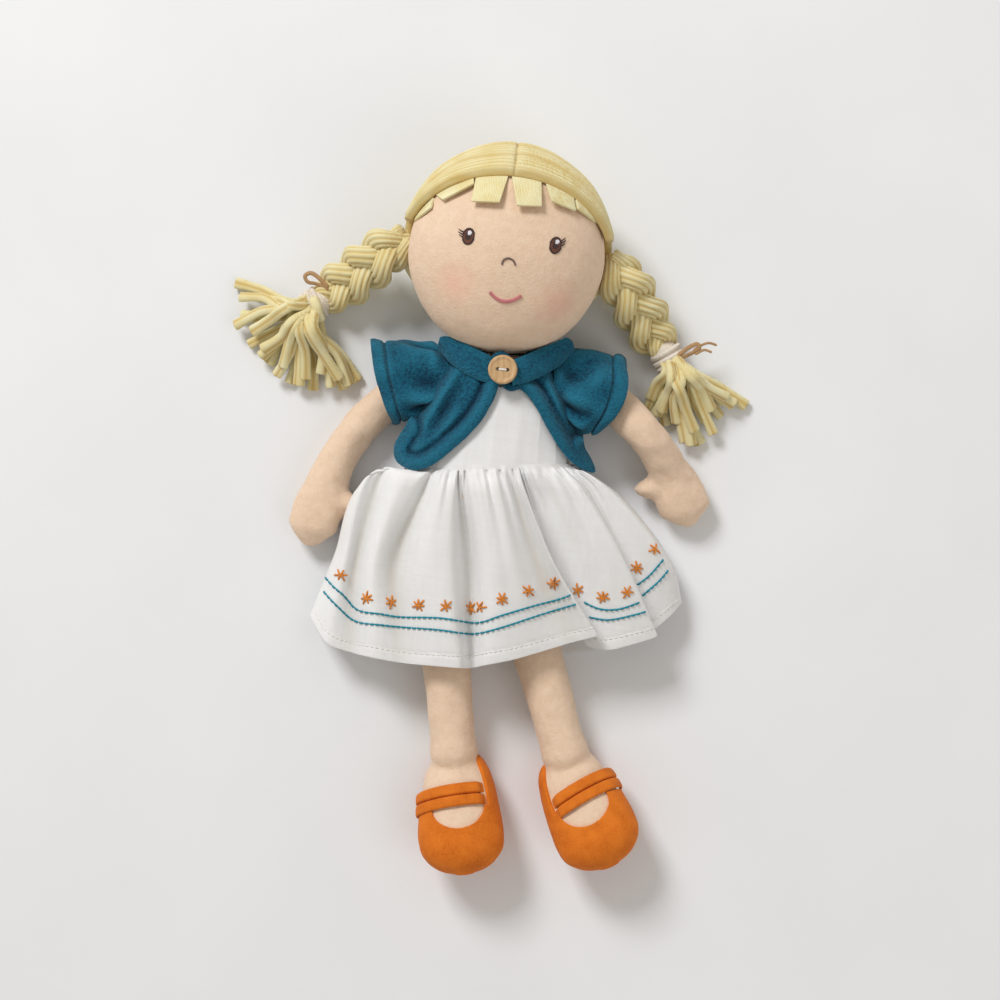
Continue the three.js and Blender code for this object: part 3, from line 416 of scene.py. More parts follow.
def turned_out(obj, outward):
    """Faces a sheet the way that outward(face) is positive, and gives its area."""
    area = sum(p.area for p in obj.data.polygons)
    if sum(outward(p) for p in obj.data.polygons) < 0:
        obj.data.flip_normals()
    return area


def one_side(obj):
    return sum(p.area for p in obj.data.polygons) / 2


def tree_of(obj):
    faces = [tuple(p.vertices) for p in obj.data.polygons]
    return BVHTree.FromPolygons([v.co / MM for v in obj.data.vertices], faces)


def rows_of(items, label, width, kind=np.float64):
    values = np.empty(len(items) * width, kind)
    items.foreach_get(label, values)
    return values.reshape(-1, width)


def with_values(obj, label, values):
    attribute = obj.data.attributes.new(label, "FLOAT", "POINT")
    attribute.data.foreach_set("value", np.array(values, np.float32))
    return obj


def with_folds(obj, rounds, depth):
    """Writes to each point how far it stands over its smoothed surroundings, from -1 in a valley to 1 on a ridge."""
    mesh = obj.data
    points = rows_of(mesh.vertices, "co", 3) / MM
    normals = rows_of(mesh.vertices, "normal", 3, np.float32)
    edges = rows_of(mesh.edges, "vertices", 2, np.int32)
    degree = np.maximum(np.bincount(edges.ravel(), minlength=len(points)), 1)[:, None]
    even = points.copy()
    for _ in range(rounds):
        total = np.zeros_like(even)
        np.add.at(total, edges[:, 0], even[edges[:, 1]])
        np.add.at(total, edges[:, 1], even[edges[:, 0]])
        even = 0.5 * even + 0.5 * total / degree
    return with_values(obj, "fold", np.clip(((points - even) * normals).sum(axis=1) / depth, -1, 1))


def finished(obj, body, slot, *nodes):
    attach(obj, body)
    if nodes:
        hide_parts(*nodes)
    return obj


def follows(obj, weight):
    """Bakes a cloth piece's place into its mesh and reckons each point's share of a second body by weight(point); the
    shares are not used.
    """
    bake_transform(obj)
    weights = [weight(v.co / MM) for v in obj.data.vertices]


# Finishes
def fed(tree, made, inputs):
    """Links or sets the inputs of a shader node."""
    for key, value in inputs.items():
        if isinstance(value, bpy.types.NodeSocket):
            tree.links.new(value, made.inputs[key])
        else:
            made.inputs[key].default_value = value
    return made


def node_in(tree, kind, inputs, **settings):
    made = tree.nodes.new(kind)
    for key, value in settings.items():
        setattr(made, key, value)
    return fed(tree, made, inputs)


def noise_in(tree, place, scale, detail, **more):
    inputs = {"Vector": place, "Scale": scale, "Detail": detail, **more}
    return node_in(tree, "ShaderNodeTexNoise", inputs).outputs["Fac"]


def wave_in(tree, place, direction, scale, distortion, detail, detail_scale):
    inputs = {"Vector": place, "Scale": scale, "Distortion": distortion, "Detail": detail, "Detail Scale": detail_scale}
    return node_in(tree, "ShaderNodeTexWave", inputs, bands_direction=direction).outputs["Fac"]


def math_in(tree, operation, *values):
    return node_in(tree, "ShaderNodeMath", dict(enumerate(values)), operation=operation).outputs["Value"]


def stretched(tree, place, scale):
    return node_in(tree, "ShaderNodeVectorMath", {0: place, 1: scale}, operation="MULTIPLY").outputs["Vector"]


def ranged(tree, value, low, high, start=0.0, end=1.0, **settings):
    inputs = {"Value": value, "From Min": start, "From Max": end, "To Min": low, "To Max": high}
    return node_in(tree, "ShaderNodeMapRange", inputs, **settings).outputs["Result"]


def mixed(tree, mask, first, second):
    """Colour between two, by a mask."""
    first, second = (c if isinstance(c, bpy.types.NodeSocket) else (*c, 1.0) for c in (first, second))
    inputs = {0: mask, 6: first, 7: second}
    return node_in(tree, "ShaderNodeMix", inputs, data_type="RGBA", clamp_factor=True).outputs[2]


def raised(tree, height, strength, distance):
    inputs = {"Height": height, "Strength": strength, "Distance": distance}
    return node_in(tree, "ShaderNodeBump", inputs).outputs["Normal"]


def effect(name, inputs, build):
    """Shared cloth effect: the place and plain numbers come in, a fine mask, a broad mask and a height go out."""
    group = bpy.data.node_groups.new(name, "ShaderNodeTree")
    made = ("Fine", "Broad", "Height")
    group.interface.new_socket(name="Place", in_out="INPUT", socket_type="NodeSocketVector")
    for label, value in inputs.items():
        group.interface.new_socket(name=label, in_out="INPUT", socket_type="NodeSocketFloat").default_value = value
    for label in made:
        group.interface.new_socket(name=label, in_out="OUTPUT", socket_type="NodeSocketFloat")
    sockets = build(group, *group.nodes.new("NodeGroupInput").outputs[:3])
    fed(group, group.nodes.new("NodeGroupOutput"), dict(zip(made, sockets)))
    return group


def pile(tree, place, tuft_scale, patch_scale):
    tufts = noise_in(tree, place, tuft_scale, 3.0)
    patches = noise_in(tree, place, patch_scale, 3.0)
    masks = ranged(tree, tufts, 0.0, 1.0, 0.32, 0.68), ranged(tree, patches, 0.0, 1.0, 0.35, 0.65)
    return *masks, math_in(tree, "MULTIPLY_ADD", patches, 0.6, tufts)


def weave(tree, place, thread_scale, slub_scale):
    waves = [wave_in(tree, place, way, thread_scale, 1.6, 1.0, 0.6) for way in "XY"]
    drawn = [stretched(tree, place, scale) for scale in ((1.0, 0.05, 0.4), (0.05, 1.0, 0.4))]
    streaks = [noise_in(tree, along, slub_scale, 2.0) for along in drawn]
    crossed = math_in(tree, "MAXIMUM", *waves)
    slubs = ranged(tree, math_in(tree, "ADD", *streaks), 0.0, 1.0, 0.75, 1.25)
    return crossed, slubs, math_in(tree, "MULTIPLY_ADD", slubs, 0.8, crossed)


def knit(tree, place, stitch_scale, patch_scale):
    loops = wave_in(tree, place, "DIAGONAL", stitch_scale, 5.0, 2.0, 1.4)
    patches = noise_in(tree, place, patch_scale, 3.0)
    return loops, ranged(tree, patches, 0.0, 1.0, 0.35, 0.65), math_in(tree, "MULTIPLY_ADD", patches, 0.5, loops)


PILE = effect("velour_pile", {"Tufts": 900.0, "Patches": 120.0}, pile)
WEAVE = effect("linen_weave", {"Threads": 620.0, "Slubs": 420.0}, weave)
KNIT = effect("jersey_knit", {"Stitches": 420.0, "Patches": 90.0}, knit)


def surface(name):
    """New material, with its tree, its shader and the place on the object."""
    material = bpy.data.materials.new(name)
    material.use_nodes = True
    tree = material.node_tree
    return material, tree, tree.nodes["Principled BSDF"], node_in(tree, "ShaderNodeTexCoord", {}).outputs["Object"]


def fabric(name, group, values, colours, rough, bump, sheen, specular=0.3, extra=None):
    """Cloth finish: a shared effect gives two masks and a height; the shader itself keeps the plain settings."""
    material, tree, shader, place = surface(name)
    made = node_in(tree, "ShaderNodeGroup", {"Place": place, **values}, node_tree=group).outputs
    dark, middle, light = colours
    base = mixed(tree, ranged(tree, made["Fine"], 0.0, 1.0), dark, middle)
    base = mixed(tree, ranged(tree, made["Broad"], 0.0, 0.75), base, light)
    fed(tree, shader, {
        "Base Color": extra(tree, place, base) if extra else base,
        "Roughness": ranged(tree, made["Broad"], *rough),
        "Normal": raised(tree, made["Height"], *bump),
        "Sheen Weight": sheen,
        "Sheen Roughness": 0.45,
        "Specular IOR Level": specular,
    })
    return material


def painted_groove_shade(shade, strength):
    """Paints shade into a cloth where its mesh says that a groove is deep."""

    def add(tree, place, base):
        groove = node_in(tree, "ShaderNodeAttribute", {}, attribute_name="groove").outputs["Fac"]
        return mixed(tree, ranged(tree, groove, 0.0, strength), base, shade)

    return add


def painted_fold_shade_and_highlight(valley, ridge, deep, high):
    """Paints shade into a cloth's valleys and a highlight onto its ridges, as its mesh names them."""

    def add(tree, place, base):
        fold = node_in(tree, "ShaderNodeAttribute", {}, attribute_name="fold").outputs["Fac"]
        base = mixed(tree, ranged(tree, fold, deep, 0.0, -1.0, 0.0), base, valley)
        return mixed(tree, ranged(tree, fold, 0.0, high), base, ridge)

    return add


def blush(centres, radius, colour, strength):
    """Rubs a soft round of colour round each centre."""

    def add(tree, place, base):
        for centre in centres:
            away = node_in(tree, "ShaderNodeVectorMath", {0: place, 1: tuple(centre * MM)}, operation="DISTANCE")
            away = away.outputs["Value"]
            soft = ranged(tree, away, strength, 0.0, 0.0, radius * MM, interpolation_type="SMOOTHSTEP")
            base = mixed(tree, soft, base, colour)
        return base

    return add


def thread(name, colour, rough=0.6):
    shades = (tuple(c * 0.72 for c in colour), colour, tuple(min(c * 1.12, 1.0) for c in colour))
    values = {"Stitches": 700.0, "Patches": 260.0}
    return fabric(name, KNIT, values, shades, (rough - 0.08, rough + 0.08), (0.35, 0.0003), 0.15)


# Each cloth's dark, middle and light colour
SKIN = ((0.74, 0.54, 0.385), (0.79, 0.595, 0.435), (0.825, 0.635, 0.48))
TEAL = ((0.002, 0.026, 0.055), (0.006, 0.078, 0.14), (0.013, 0.138, 0.225))
SUEDE = ((0.54, 0.125, 0.0095), (0.69, 0.173, 0.015), (0.76, 0.21, 0.023))
LINEN = ((0.80, 0.80, 0.80), (0.855, 0.86, 0.865), (0.885, 0.89, 0.897))
JERSEY = ((0.68, 0.55, 0.235), (0.765, 0.70, 0.40), (0.81, 0.77, 0.50))
COTTON = ((0.74, 0.64, 0.52), (0.82, 0.75, 0.65), (0.87, 0.82, 0.75))
SKIN_CLOTH = (PILE, {"Tufts": 950.0, "Patches": 260.0}, SKIN, (0.82, 0.95), (0.5, 0.0006), 0.12)

skin_velour = fabric("skin_velour_cloth", *SKIN_CLOTH)
teal_velour = fabric(
    "teal_velour_cloth", PILE, {"Tufts": 1000.0, "Patches": 620.0}, TEAL, (0.7, 0.9), (1.0, 0.0012), 0.08, 0.12,
    # Painted shade in the velour's fold valleys and a painted highlight on their ridges
    painted_fold_shade_and_highlight((0.001, 0.014, 0.034), (0.022, 0.19, 0.295), 0.88, 0.75),
)
suede = fabric(
    "shoe_suede_cloth", PILE, {"Tufts": 1100.0, "Patches": 120.0}, SUEDE, (0.8, 0.95), (0.35, 0.0004), 0.06, 0.15
)
linen = fabric(
    "white_linen_cloth", WEAVE, {}, LINEN, (0.82, 0.95), (0.45, 0.00035), 0.1,
    # Painted shade in the linen's fold valleys and a painted highlight on their ridges
    extra=painted_fold_shade_and_highlight((0.56, 0.52, 0.45), (0.91, 0.91, 0.905), 0.6, 0.6),
)
jersey = fabric(
    "hair_jersey_cloth", KNIT, {}, JERSEY, (0.78, 0.92), (0.25, 0.0004), 0.2,
    # Painted shade in the hair jersey's grooves
    extra=painted_groove_shade((0.56, 0.36, 0.08), 0.85),
)
tie_cotton = fabric("tie_cotton", KNIT, {"Stitches": 500.0}, COTTON, (0.8, 0.92), (0.5, 0.0005), 0.2)
tan_cord = thread("tan_cord", (0.45, 0.27, 0.13), 0.55)
white_thread = thread("hem_thread", (0.86, 0.84, 0.80))
teal_thread = thread("running_stitch_thread", (0.0, 0.24, 0.33))
orange_thread = thread("star_stitch_thread", (0.72, 0.24, 0.025))
dark_thread = thread("lash_thread", (0.045, 0.022, 0.018))
iris_thread = thread("iris_thread", (0.15, 0.05, 0.03))
light_thread = thread("eye_light_thread", (0.86, 0.85, 0.92))
nose_thread = thread("nose_thread", (0.16, 0.10, 0.09))
lip_thread = thread("lip_thread", (0.58, 0.20, 0.21))
seam_thread = thread("jacket_seam_thread", (0.005, 0.06, 0.09))
shoe_thread = thread("shoe_seam_thread", (0.10, 0.025, 0.004))


# Stuffed velour pieces
def stuffed(node, body, voxel, cap, shape=None, material=skin_velour):
    """Filled velour skin: remeshed from its solid a little small, blown up as cloth, then smoothed."""
    obj = remeshed(copied(f"{node}_stuffing", node, material), material, voxel, 8)
    moved(obj, lambda p, n: p - n * cap * 0.45)
    blown_up(obj, cap)
    if shape:
        moved(obj, shape)
    kept_above(baked(obj, ("SUBSURF", {"levels": 1})), 0.15)
    return finished(obj, body, "skin_velour", node)


def blown_up(obj, cap):
    """Cloth pressure from inside, at ten times the size, with each point's movement capped."""
    grow, last = 10.0, 20
    obj.data.transform(Matrix.Scale(grow, 4))
    start = rows_of(obj.data.vertices, "co", 3)
    cloth = obj.modifiers.new("filling", "CLOTH")
    cloth.settings.use_pressure = True
    cloth.settings.uniform_pressure_force = 4.0
    cloth.settings.effector_weights.gravity = 0.0
    cloth.settings.quality = 5
    cloth.point_cache.frame_start = 1
    cloth.point_cache.frame_end = last
    for step in range(1, last + 1):
        bpy.context.scene.frame_set(step)
    held = obj.evaluated_get(bpy.context.evaluated_depsgraph_get())
    shift = rows_of(held.to_mesh().vertices, "co", 3) - start
    held.to_mesh_clear()
    obj.modifiers.clear()
    bpy.context.scene.frame_set(1)
    shift -= shift.mean(axis=0)
    length = np.linalg.norm(shift, axis=1, keepdims=True)
    shift *= np.minimum(1.0, cap * MM * grow / np.maximum(length, 1e-9))
    obj.data.vertices.foreach_set("co", (start + shift).ravel())
    obj.data.transform(Matrix.Scale(1 / grow, 4))
    obj.data.update()


def make_limbs(side, seed):
    pull, none, whole = ARM_PULLS[side]
    heel, along, _, _ = foot_frame(side)

    def settled(p, n):
        return p + Vector(pull) * smooth(-p.y, none, whole) + n * 0.7 * ripple(p, 9.0, seed)

    def footed(p, n):
        share = (p - heel).dot(along) / FOOT_LENGTH
        full = 0.9 * smooth(share, -0.1, 0.15) - 2.6 * smooth(share, 0.72, 0.9)
        return p + n * (0.5 * ripple(p, 9.0, seed + 1) + full)

    stuffed(f"arm_{side}", f"{side}_arm", 2.0, 0.9, settled)
    stuffed(f"leg_{side}", f"{side}_leg", 2.0, 0.3, footed)


def make_head():
    tree = tree_of(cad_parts["head"])
    rubbed = blush([seen_at(tree, *pixel) for pixel in CHEEKS], 17.0, (0.83, 0.37, 0.29), 0.33)

    def chinned(p, n):
        chin = Vector((0, -3.6, 0)) * smooth(HEAD_CENTRE.y - p.y, 16, 50) * smooth(p.z, 14, 40)
        return p + chin + n * 0.35 * ripple(p, 14.0, 1.0)

    return stuffed("head", "head", 2.8, 0.9, chinned, fabric("face_velour_cloth", *SKIN_CLOTH, extra=rubbed))


# Nose and mouth as pixels, and the mouth's three rows of stitches with their drop and thickness
NOSE = [(502.0, 264.2), (503.0, 261.0), (505.4, 258.9), (508.8, 258.3), (512.2, 259.6), (514.4, 262.2), (515.2, 264.8)]
MOUTH = [(489.8, 292.6), (494.2, 296.8), (500.2, 300.2), (507.0, 301.2), (514.0, 299.8), (521.2, 296.2)]
MOUTH_ROWS = ((-0.7, 0.5), (0.25, 0.55), (1.2, 0.45))


def make_face(head):
    """Embroidered eyes in satin stitch, with lashes, nose and mouth."""
    tree = tree_of(head)
    eyes = {"rim": Parts(), "iris": Parts(), "light": Parts()}
    for side, (px, py) in EYES.items():
        for column in range(-6, 7):
            x = column * STITCH_STEP
            reach = EYE_HALF_HEIGHT * math.sqrt(max(1 - (x / EYE_HALF_WIDTH) ** 2, 0.0))
            runs = []
            for row in range(25):
                y = -reach + 2 * reach * row / 24
                pupil = (x / 3.3) ** 2 + ((y + 0.6) / 4.2) ** 2 < 1
                rim = pupil or (x / 5.5) ** 2 + (y / EYE_HALF_HEIGHT) ** 2 > 0.7
                kind = "light" if (x - 1.0) ** 2 + (y + 3.6) ** 2 < 3.6 else "rim" if rim else "iris"
                point = seen_at(tree, px + x - y * 0.1, py + y, 0.25 if kind != "light" else 0.55)
                if runs:
                    runs[-1][1].append(point)
                if not runs or runs[-1][0] != kind:
                    runs.append((kind, [point]))
            for kind, points in runs:
                if len(points) > 1 and reach > 0.8:
                    eyes[kind].tube(points, 0.4, sides=6)
        for lift, reach in ((-4.6, 4.4), (-2.0, 4.8), (0.8, 4.0)):
            lash = ((0, 0, 0.3), (reach * 0.5, 1.0, 0.5), (reach, 2.6, 0.3))
            points = [seen_at(tree, px + SIGN[side] * (5.2 + out), py + lift - up, off) for out, up, off in lash]
            eyes["rim"].tube(points, lambda s: 0.34 - 0.14 * s, sides=6)
    for key, material in (("rim", dark_thread), ("iris", iris_thread), ("light", light_thread)):
        finished(eyes[key].make(f"eye_{key}_stitches", material), "head", "skin_velour")

    def sew(shape, pixels, radius):
        shape.tube([seen_at(tree, p.x, p.y, 0.3) for p in rounded(flat(pixels), 5)], radius, sides=8)

    nose, mouth = Parts(), Parts()
    sew(nose, NOSE, 0.46)
    for drop, radius in MOUTH_ROWS:
        inset = abs(drop - 0.25) * 0.9
        sew(mouth, [(x + inset * (1 - i / 2.5), y + drop) for i, (x, y) in enumerate(MOUTH)], radius)
    finished(nose.make("nose_stitch", nose_thread), "head", "skin_velour")
    finished(mouth.make("mouth_stitches", lip_thread), "head", "skin_velour")


# Hair
def head_point(longitude, latitude, off):
    side, ring = math.sin(math.radians(longitude)), math.cos(math.radians(longitude))
    lift, face = ring * math.sin(math.radians(latitude)), ring * math.cos(math.radians(latitude))
    half = HEAD_WIDTH / 2 * (1 - 0.05 * lift) + off
    return HEAD_CENTRE + Vector((half * side, (HEAD_HEIGHT / 2 + off) * lift, (HEAD_DEPTH / 2 + off) * face))


def hair_cap(side):
    """Ribbed jersey from the centre part to one braid's root, in strands of a few ribs."""
    across, along = 34, HAIR_RIBS * 6
    rows, grooves = [], []
    for t in shares(across):
        part = smooth(t, 0.0, 0.035)
        row, under = [], []
        for share in shares(along):
            rib = abs(math.sin(math.pi * HAIR_RIBS * share))
            wander = 0.6 * ripple((t * 3, share * 40, SIGN[side]), 1.0)
            strand = abs(math.sin(math.pi * (HAIR_RIBS / RIBS_IN_STRAND) * share + wander))
            lift = HAIR_DEPTH + 0.3 + 0.5 * rib**0.7 + 0.9 * strand**0.4 + 0.35 * ripple((t * 4, share * 9, 5), 1.0)
            edge = min(share, 1 - share) * along
            lift = 0.8 + (lift - 0.8) * smooth(edge, -2, 5) * (0.8 + 0.2 * part)
            spot = (SIGN[side] * (HAIR_ROOT * t - 0.25), HAIRLINE + (NAPE - HAIRLINE) * share)
            row.append(head_point(*spot, lift))
            under.append(head_point(*spot, SEAM_GAP))
            # Groove values are painted shade: between ribs, between strands and along the centre part; the unseen
            # underside is shaded in full
            grooves.append(max(0.7 * (1 - rib), 0.9 * (1 - strand) ** 2, 0.7 * (1 - part)) * 0.9)
        rows.append(row + under[::-1])
        grooves.extend([1.0] * len(under))
    shape = Parts().grid(rows, closed=True)
    count = len(rows[0])
    for base in (0, across * count):
        ends = [(base + j, base + j + 1, base + count - 2 - j, base + count - 1 - j) for j in range(along)]
        shape.faces.extend(ends)
    obj = with_values(shape.make(f"hair_{side}_ribs", jersey), "groove", grooves)
    finished(kept_above(obj, 0.1), "head", "hair_jersey", f"hair_{side}")


# Fringe tabs as pixels: upper left, upper right, lower right and lower left corner
FRINGE_TABS = [
    ((418, 213), (434, 198), (431, 208), (415, 221)),
    ((436, 195), (474, 176), (474, 184), (443, 200)),
    ((477, 174), (509, 174), (499.5, 202.5), (471.5, 201.5)),
    ((511.5, 174), (541, 176), (541.5, 206.5), (517, 205.6)),
    ((544, 178), (571, 186), (575.6, 211), (552, 201.5)),
    ((573, 188), (593, 202), (599.5, 225), (577.5, 209)),
    ((594, 203), (601, 214), (605, 233), (600, 225)),
]


def beside(tree, spot, lift):
    """Point raised from a surface at a pixel, or level with its nearest rim where the pixel lies past it."""
    for step in range(20):
        near = spot.lerp(Vector((508, 250)), step * 0.02)
        found = seen_at(tree, near.x, near.y, lift)
        if found is not None:
            return placed(spot.x, spot.y, found.z)
    return placed(spot.x, spot.y, HEAD_CENTRE.z)


def tab_point(tree, order, t, s):
    """Point of a tab at a share across it and a share down it."""
    first, second, third, fourth = (Vector(corner) for corner in FRINGE_TABS[order])
    off = 1.3 + FRINGE_LIFT * smooth(s, 0.0, 0.9) + 0.4 * ripple((t * 2 + order, s * 2, 3), 1.0)
    off += 0.5 * bump_at(t, 0.0, 0.12) * s - 0.4 * bump_at(t, 1.0, 0.15) * s
    return beside(tree, first.lerp(second, t).lerp(fourth.lerp(third, t), s), off)


def make_fringe(tree):
    """Flat jersey tabs that stand off the forehead, with thin cuts between them."""
    shape = Parts()
    for order in range(len(FRINGE_TABS)):
        shape.grid([[tab_point(tree, order, t, s) for s in shares(14)] for t in shares(12)])
    obj = thick(shape.make("fringe_tabs", jersey), FRINGE_WALL, offset=0.0)
    finished(with_values(obj, "groove", [0.0] * len(obj.data.vertices)), "head", "hair_jersey", "fringe")


# Braids
def braid_line(side):
    root = Vector((HEAD_CENTRE.x + SIGN[side] * (HEAD_WIDTH / 2 + 3.6), HEAD_CENTRE.y, 0))
    out = heading(BRAID_HEADINGS[side])

    def at(share):
        point = root + out * BRAID_LENGTH * share
        fall = (1 - math.cos(math.pi * min(max(share, 0), 1))) / 2
        point.z = ROOT_HEIGHT + (TIE_HEIGHT - ROOT_HEIGHT) * fall
        return point

    return at


def braid_end(side):
    """Last point of a braid and its direction there."""
    line = braid_line(side)
    return line(1), (line(1) - line(0.95)).normalized()


def make_braid(side):
    """Three strands plaited, each a bundle of jersey ribs that swells between the crossings."""
    line = braid_line(side)
    rate = 2 * math.pi * BRAID_TURNS
    for index in range(3):
        rows, grooves = [], []
        for i in range(97):
            share = -0.06 + 1.1 * i / 96
            along = (line(share + 0.02) - line(share - 0.02)).normalized()
            across, up = crossing(along)
            size = value_at(BRAID_TAPER, share)
            angle = 2 * math.pi * (BRAID_TURNS * share + index / 3)
            swing, rise = across * (BRAID_SWING * size), up * (BRAID_RISE * size)
            centre = line(share) + swing * math.sin(angle) + rise * math.sin(2 * angle)
            turn = swing * (math.cos(angle) * rate) + rise * (2 * math.cos(2 * angle) * rate)
            way = (along * BRAID_LENGTH + turn).normalized()
            wide = way.cross(up).normalized()
            high = wide.cross(way)
            swell = size * (1 + 0.16 * math.cos(2 * angle + math.pi / 2))
            row = []
            for t in turns(60):
                rib = abs(math.cos(STRAND_RIBS * t / 2 + 0.3 * math.sin(6 * share + index)))
                # Painted shade between the ribs
                grooves.append((1 - rib) ** 1.5)
                bulge = swell * (0.83 + 0.2 * rib**0.7)
                off = wide * (STRAND_WIDE * bulge * math.cos(t)) + high * (STRAND_HIGH * bulge * math.sin(t))
                row.append(centre + off)
            rows.append(row)
        obj = Parts().grid(rows, closed=True, caps=True).make(f"braid_{side}_bundle_{index + 1}", jersey)
        kept_above(with_values(obj, "groove", grooves), 0.3)
        finished(obj, f"{side}_braid", "hair_jersey", f"braid_{side}_strand_{index + 1}")


# Tan cord on each tie as pixels: its loop, and its loose tails
CORDS = {
    "left": ([(327, 286), (319, 278), (311, 273), (305, 276), (308, 282), (317, 284), (327, 289)], []),
    "right": (
        [(680, 354), (688, 348), (697, 344), (699, 349), (690, 354), (681, 358)],
        [[(694, 350), (702, 345), (709, 343), (716, 345)], [(696, 354), (704, 350), (711, 352)]],
    ),
}


def make_tie(side):
    """Cotton wound round the braid's end, with a loop of tan cord tied over it."""
    end, along = braid_end(side)
    across, up = crossing(along)
    centre = end + along * (3 + 5 * SEAM_GAP)
    rings, steps = 7, 20
    half = 4.2
    points = []
    for i in range(rings * steps + 1):
        t = i / steps
        radius = TIE_RADIUS + 0.5 * math.sin(2.3 * t) + 0.3 * math.sin(5.1 * t)
        place = centre + along * (-half + 2 * half * t / rings + 0.6 * math.sin(4.1 * t))
        turn = 2 * math.pi * t
        points.append(place + across * radius * math.cos(turn) + up * (radius - 0.2) * math.sin(turn))
    windings = Parts().tube(points, 1.3, sides=8)
    windings.tube([centre + along * s for s in (-half, -1.5, 1.5, half)], TIE_RADIUS - 0.2, sides=20)
    obj = kept_above(windings.make(f"braid_{side}_tie_winding", tie_cotton), 0.3)
    finished(obj, f"{side}_braid", "tie_ribbon", f"braid_{side}_tie")
    loop, tails = CORDS[side]
    top = centre.z + 7.6
    path = [placed(px, py, top + 0.9 * math.sin(i * 0.9)) for i, (px, py) in enumerate(loop)]
    cord = Parts().tube(rounded(path, 5), 1.15, sides=8, squeeze=0.5)
    for tail in tails:
        path = [placed(px, py, top + 0.5 - 0.8 * i) for i, (px, py) in enumerate(tail)]
        cord.tube(rounded(path, 5), 0.7, sides=8, squeeze=0.5)
    finished(cord.make(f"braid_{side}_tie_cord", tan_cord), f"{side}_braid", "tie_ribbon")


# Tips of each tassel's strips: pixels and layer
TASSEL_TIPS = {
    "left": [
        (237, 283, 0), (243, 316, 0), (236, 325, 1), (250, 344, 0), (262, 356, 1), (270, 363, 0), (277, 375, 1),
        (290, 382, 0), (299, 384, 1), (313, 389, 0), (331, 386, 1), (344, 388, 0), (357, 380, 0), (349, 384, 1),
        (241, 297, 1), (253, 331, 2), (264, 349, 2), (283, 366, 2), (306, 378, 2), (322, 372, 2), (339, 378, 2),
        (268, 300, 2),
    ],
    "right": [
        (646, 412, 0), (656, 414, 1), (666, 424, 0), (683, 436, 0), (691, 444, 1), (700, 443, 0), (713, 433, 1),
        (722, 402, 0), (733, 404, 1), (745, 405, 0), (720, 416, 0), (706, 420, 1),
        (651, 398, 1), (662, 411, 2), (676, 422, 2), (694, 430, 2), (711, 409, 2), (726, 397, 2), (684, 441, 1),
    ],
}


def make_tassel(side):
    """Curled jersey strips that fan out over the floor, cut off square and open at the tip."""
    end, along = braid_end(side)
    start = end + along * (6 * SEAM_GAP + 4)
    shape, grooves = Parts(), []
    for index, (px, py, layer) in enumerate(TASSEL_TIPS[side]):
        tip = placed(px, py, 2.6 + 3.9 * layer)
        out = (tip - start).normalized()
        cross = Vector((-out.y, out.x, 0))
        root = start + cross * (4.2 * math.sin(index * 2.4)) + Vector((0, 0, 0.5 + 2.6 * layer))
        lift = 5.0 + 3.0 * layer
        high = root.lerp(tip, 0.3) + Vector((0, 0, lift)) + along * 3.0
        bent = root.lerp(tip, 0.65) + Vector((0, 0, lift * 0.45)) + cross * (2.0 * math.sin(index * 2.1))
        add_strip(shape, grooves, rounded([root, high, bent, tip], 7), 2.3 + 0.25 * math.sin(index * 1.7), index)
    if side == "left":
        loose = [start + Vector((2, 2, 6)), placed(314, 300, 19), placed(317, 308, 20), placed(320, 320, 17)]
        add_strip(shape, grooves, rounded(loose, 6), 2.2, 40)
    obj = with_values(shape.make(f"braid_{side}_tassel_strips", jersey), "groove", grooves)
    finished(kept_above(obj, 0.2), f"{side}_braid", "hair_jersey", f"braid_{side}_tassel")


def add_strip(shape, grooves, path, radius, seed):
    """One curled strip: a tube with a seam along it, open and hollow at its cut end."""
    seam = math.pi / 2 + 0.9 * math.sin(seed * 2.1)
    frames = frames_along(path)
    last = len(path) - 1

    def ring(at, scale, shift=0):
        centre, way, across, up = at
        row = []
        for t in turns(16):
            fold = math.exp(-((math.remainder(t - seam, 2 * math.pi) / 0.36) ** 2))
            r = radius * scale * (1 - 0.34 * fold)
            row.append(centre + way * shift + across * (r * 1.18 * math.cos(t)) + up * (r * 0.85 * math.sin(t)))
            # Painted shade along the strip's seam, and in full on the ring deep inside its open end
            grooves.append(fold if scale > 0.7 else 1.0)
        return row

    scales = [0.8 + 0.2 * smooth(i / last, 0, 0.3) + 0.14 * smooth(i / last, 0.8, 1) for i in range(last + 1)]
    rows = [ring(at, scale) for at, scale in zip(frames, scales)]
    rows += [ring(frames[-1], scale, shift) for scale, shift in ((1.12, 0.5), (0.74, 0.4), (0.62, -2.8))]
    shape.grid(rows, closed=True, caps=True)


# Dress
def torso_at(y, grow, ease):
    """Middle, half width and half depth of the torso at a height, grown all round and eased across."""
    share = (NECK_SEAM - y) / TORSO_LENGTH
    half = TORSO_WIDTH / 2 * value_at(TORSO_WIDTHS, share) + grow + ease
    return HIP_SHIFT * max(share, 0) ** 2, half, TORSO_DEPTH / 2 * value_at(TORSO_DEPTHS, share) + grow


def jacket_size(y):
    to_waist, to_hem = (min(max((NECK_SEAM - y) / (NECK_SEAM - place), 0), 1) for place in (WAIST, JACKET_HEM))
    return torso_at(y, JACKET_GROW, BODICE_EASE * to_waist**2 + (JACKET_EASE - BODICE_EASE) * to_hem**1.5)


def jacket_top(x, y):
    middle, half, depth = jacket_size(y)
    across = min(abs(x - middle) / half, 1.4)
    if across < 0.86:
        return TORSO_MIDDLE + depth * math.sqrt(1 - across**2)
    return TORSO_MIDDLE + depth * max(0.51 - (across - 0.86) * 1.7, 0.0)


def bodice_top(x, y):
    """Height of the bodice's outer face, in plan."""
    middle, half, depth = torso_at(y, BODICE_GROW, BODICE_EASE)
    return TORSO_MIDDLE + depth * math.sqrt(1 - min(abs(x - middle) / half, 1) ** 2)


def torso_out(p):
    middle, half, depth = jacket_size(p.y)
    return Vector(((p.x - middle) / half, 0, (p.z - TORSO_MIDDLE) / depth)).normalized()


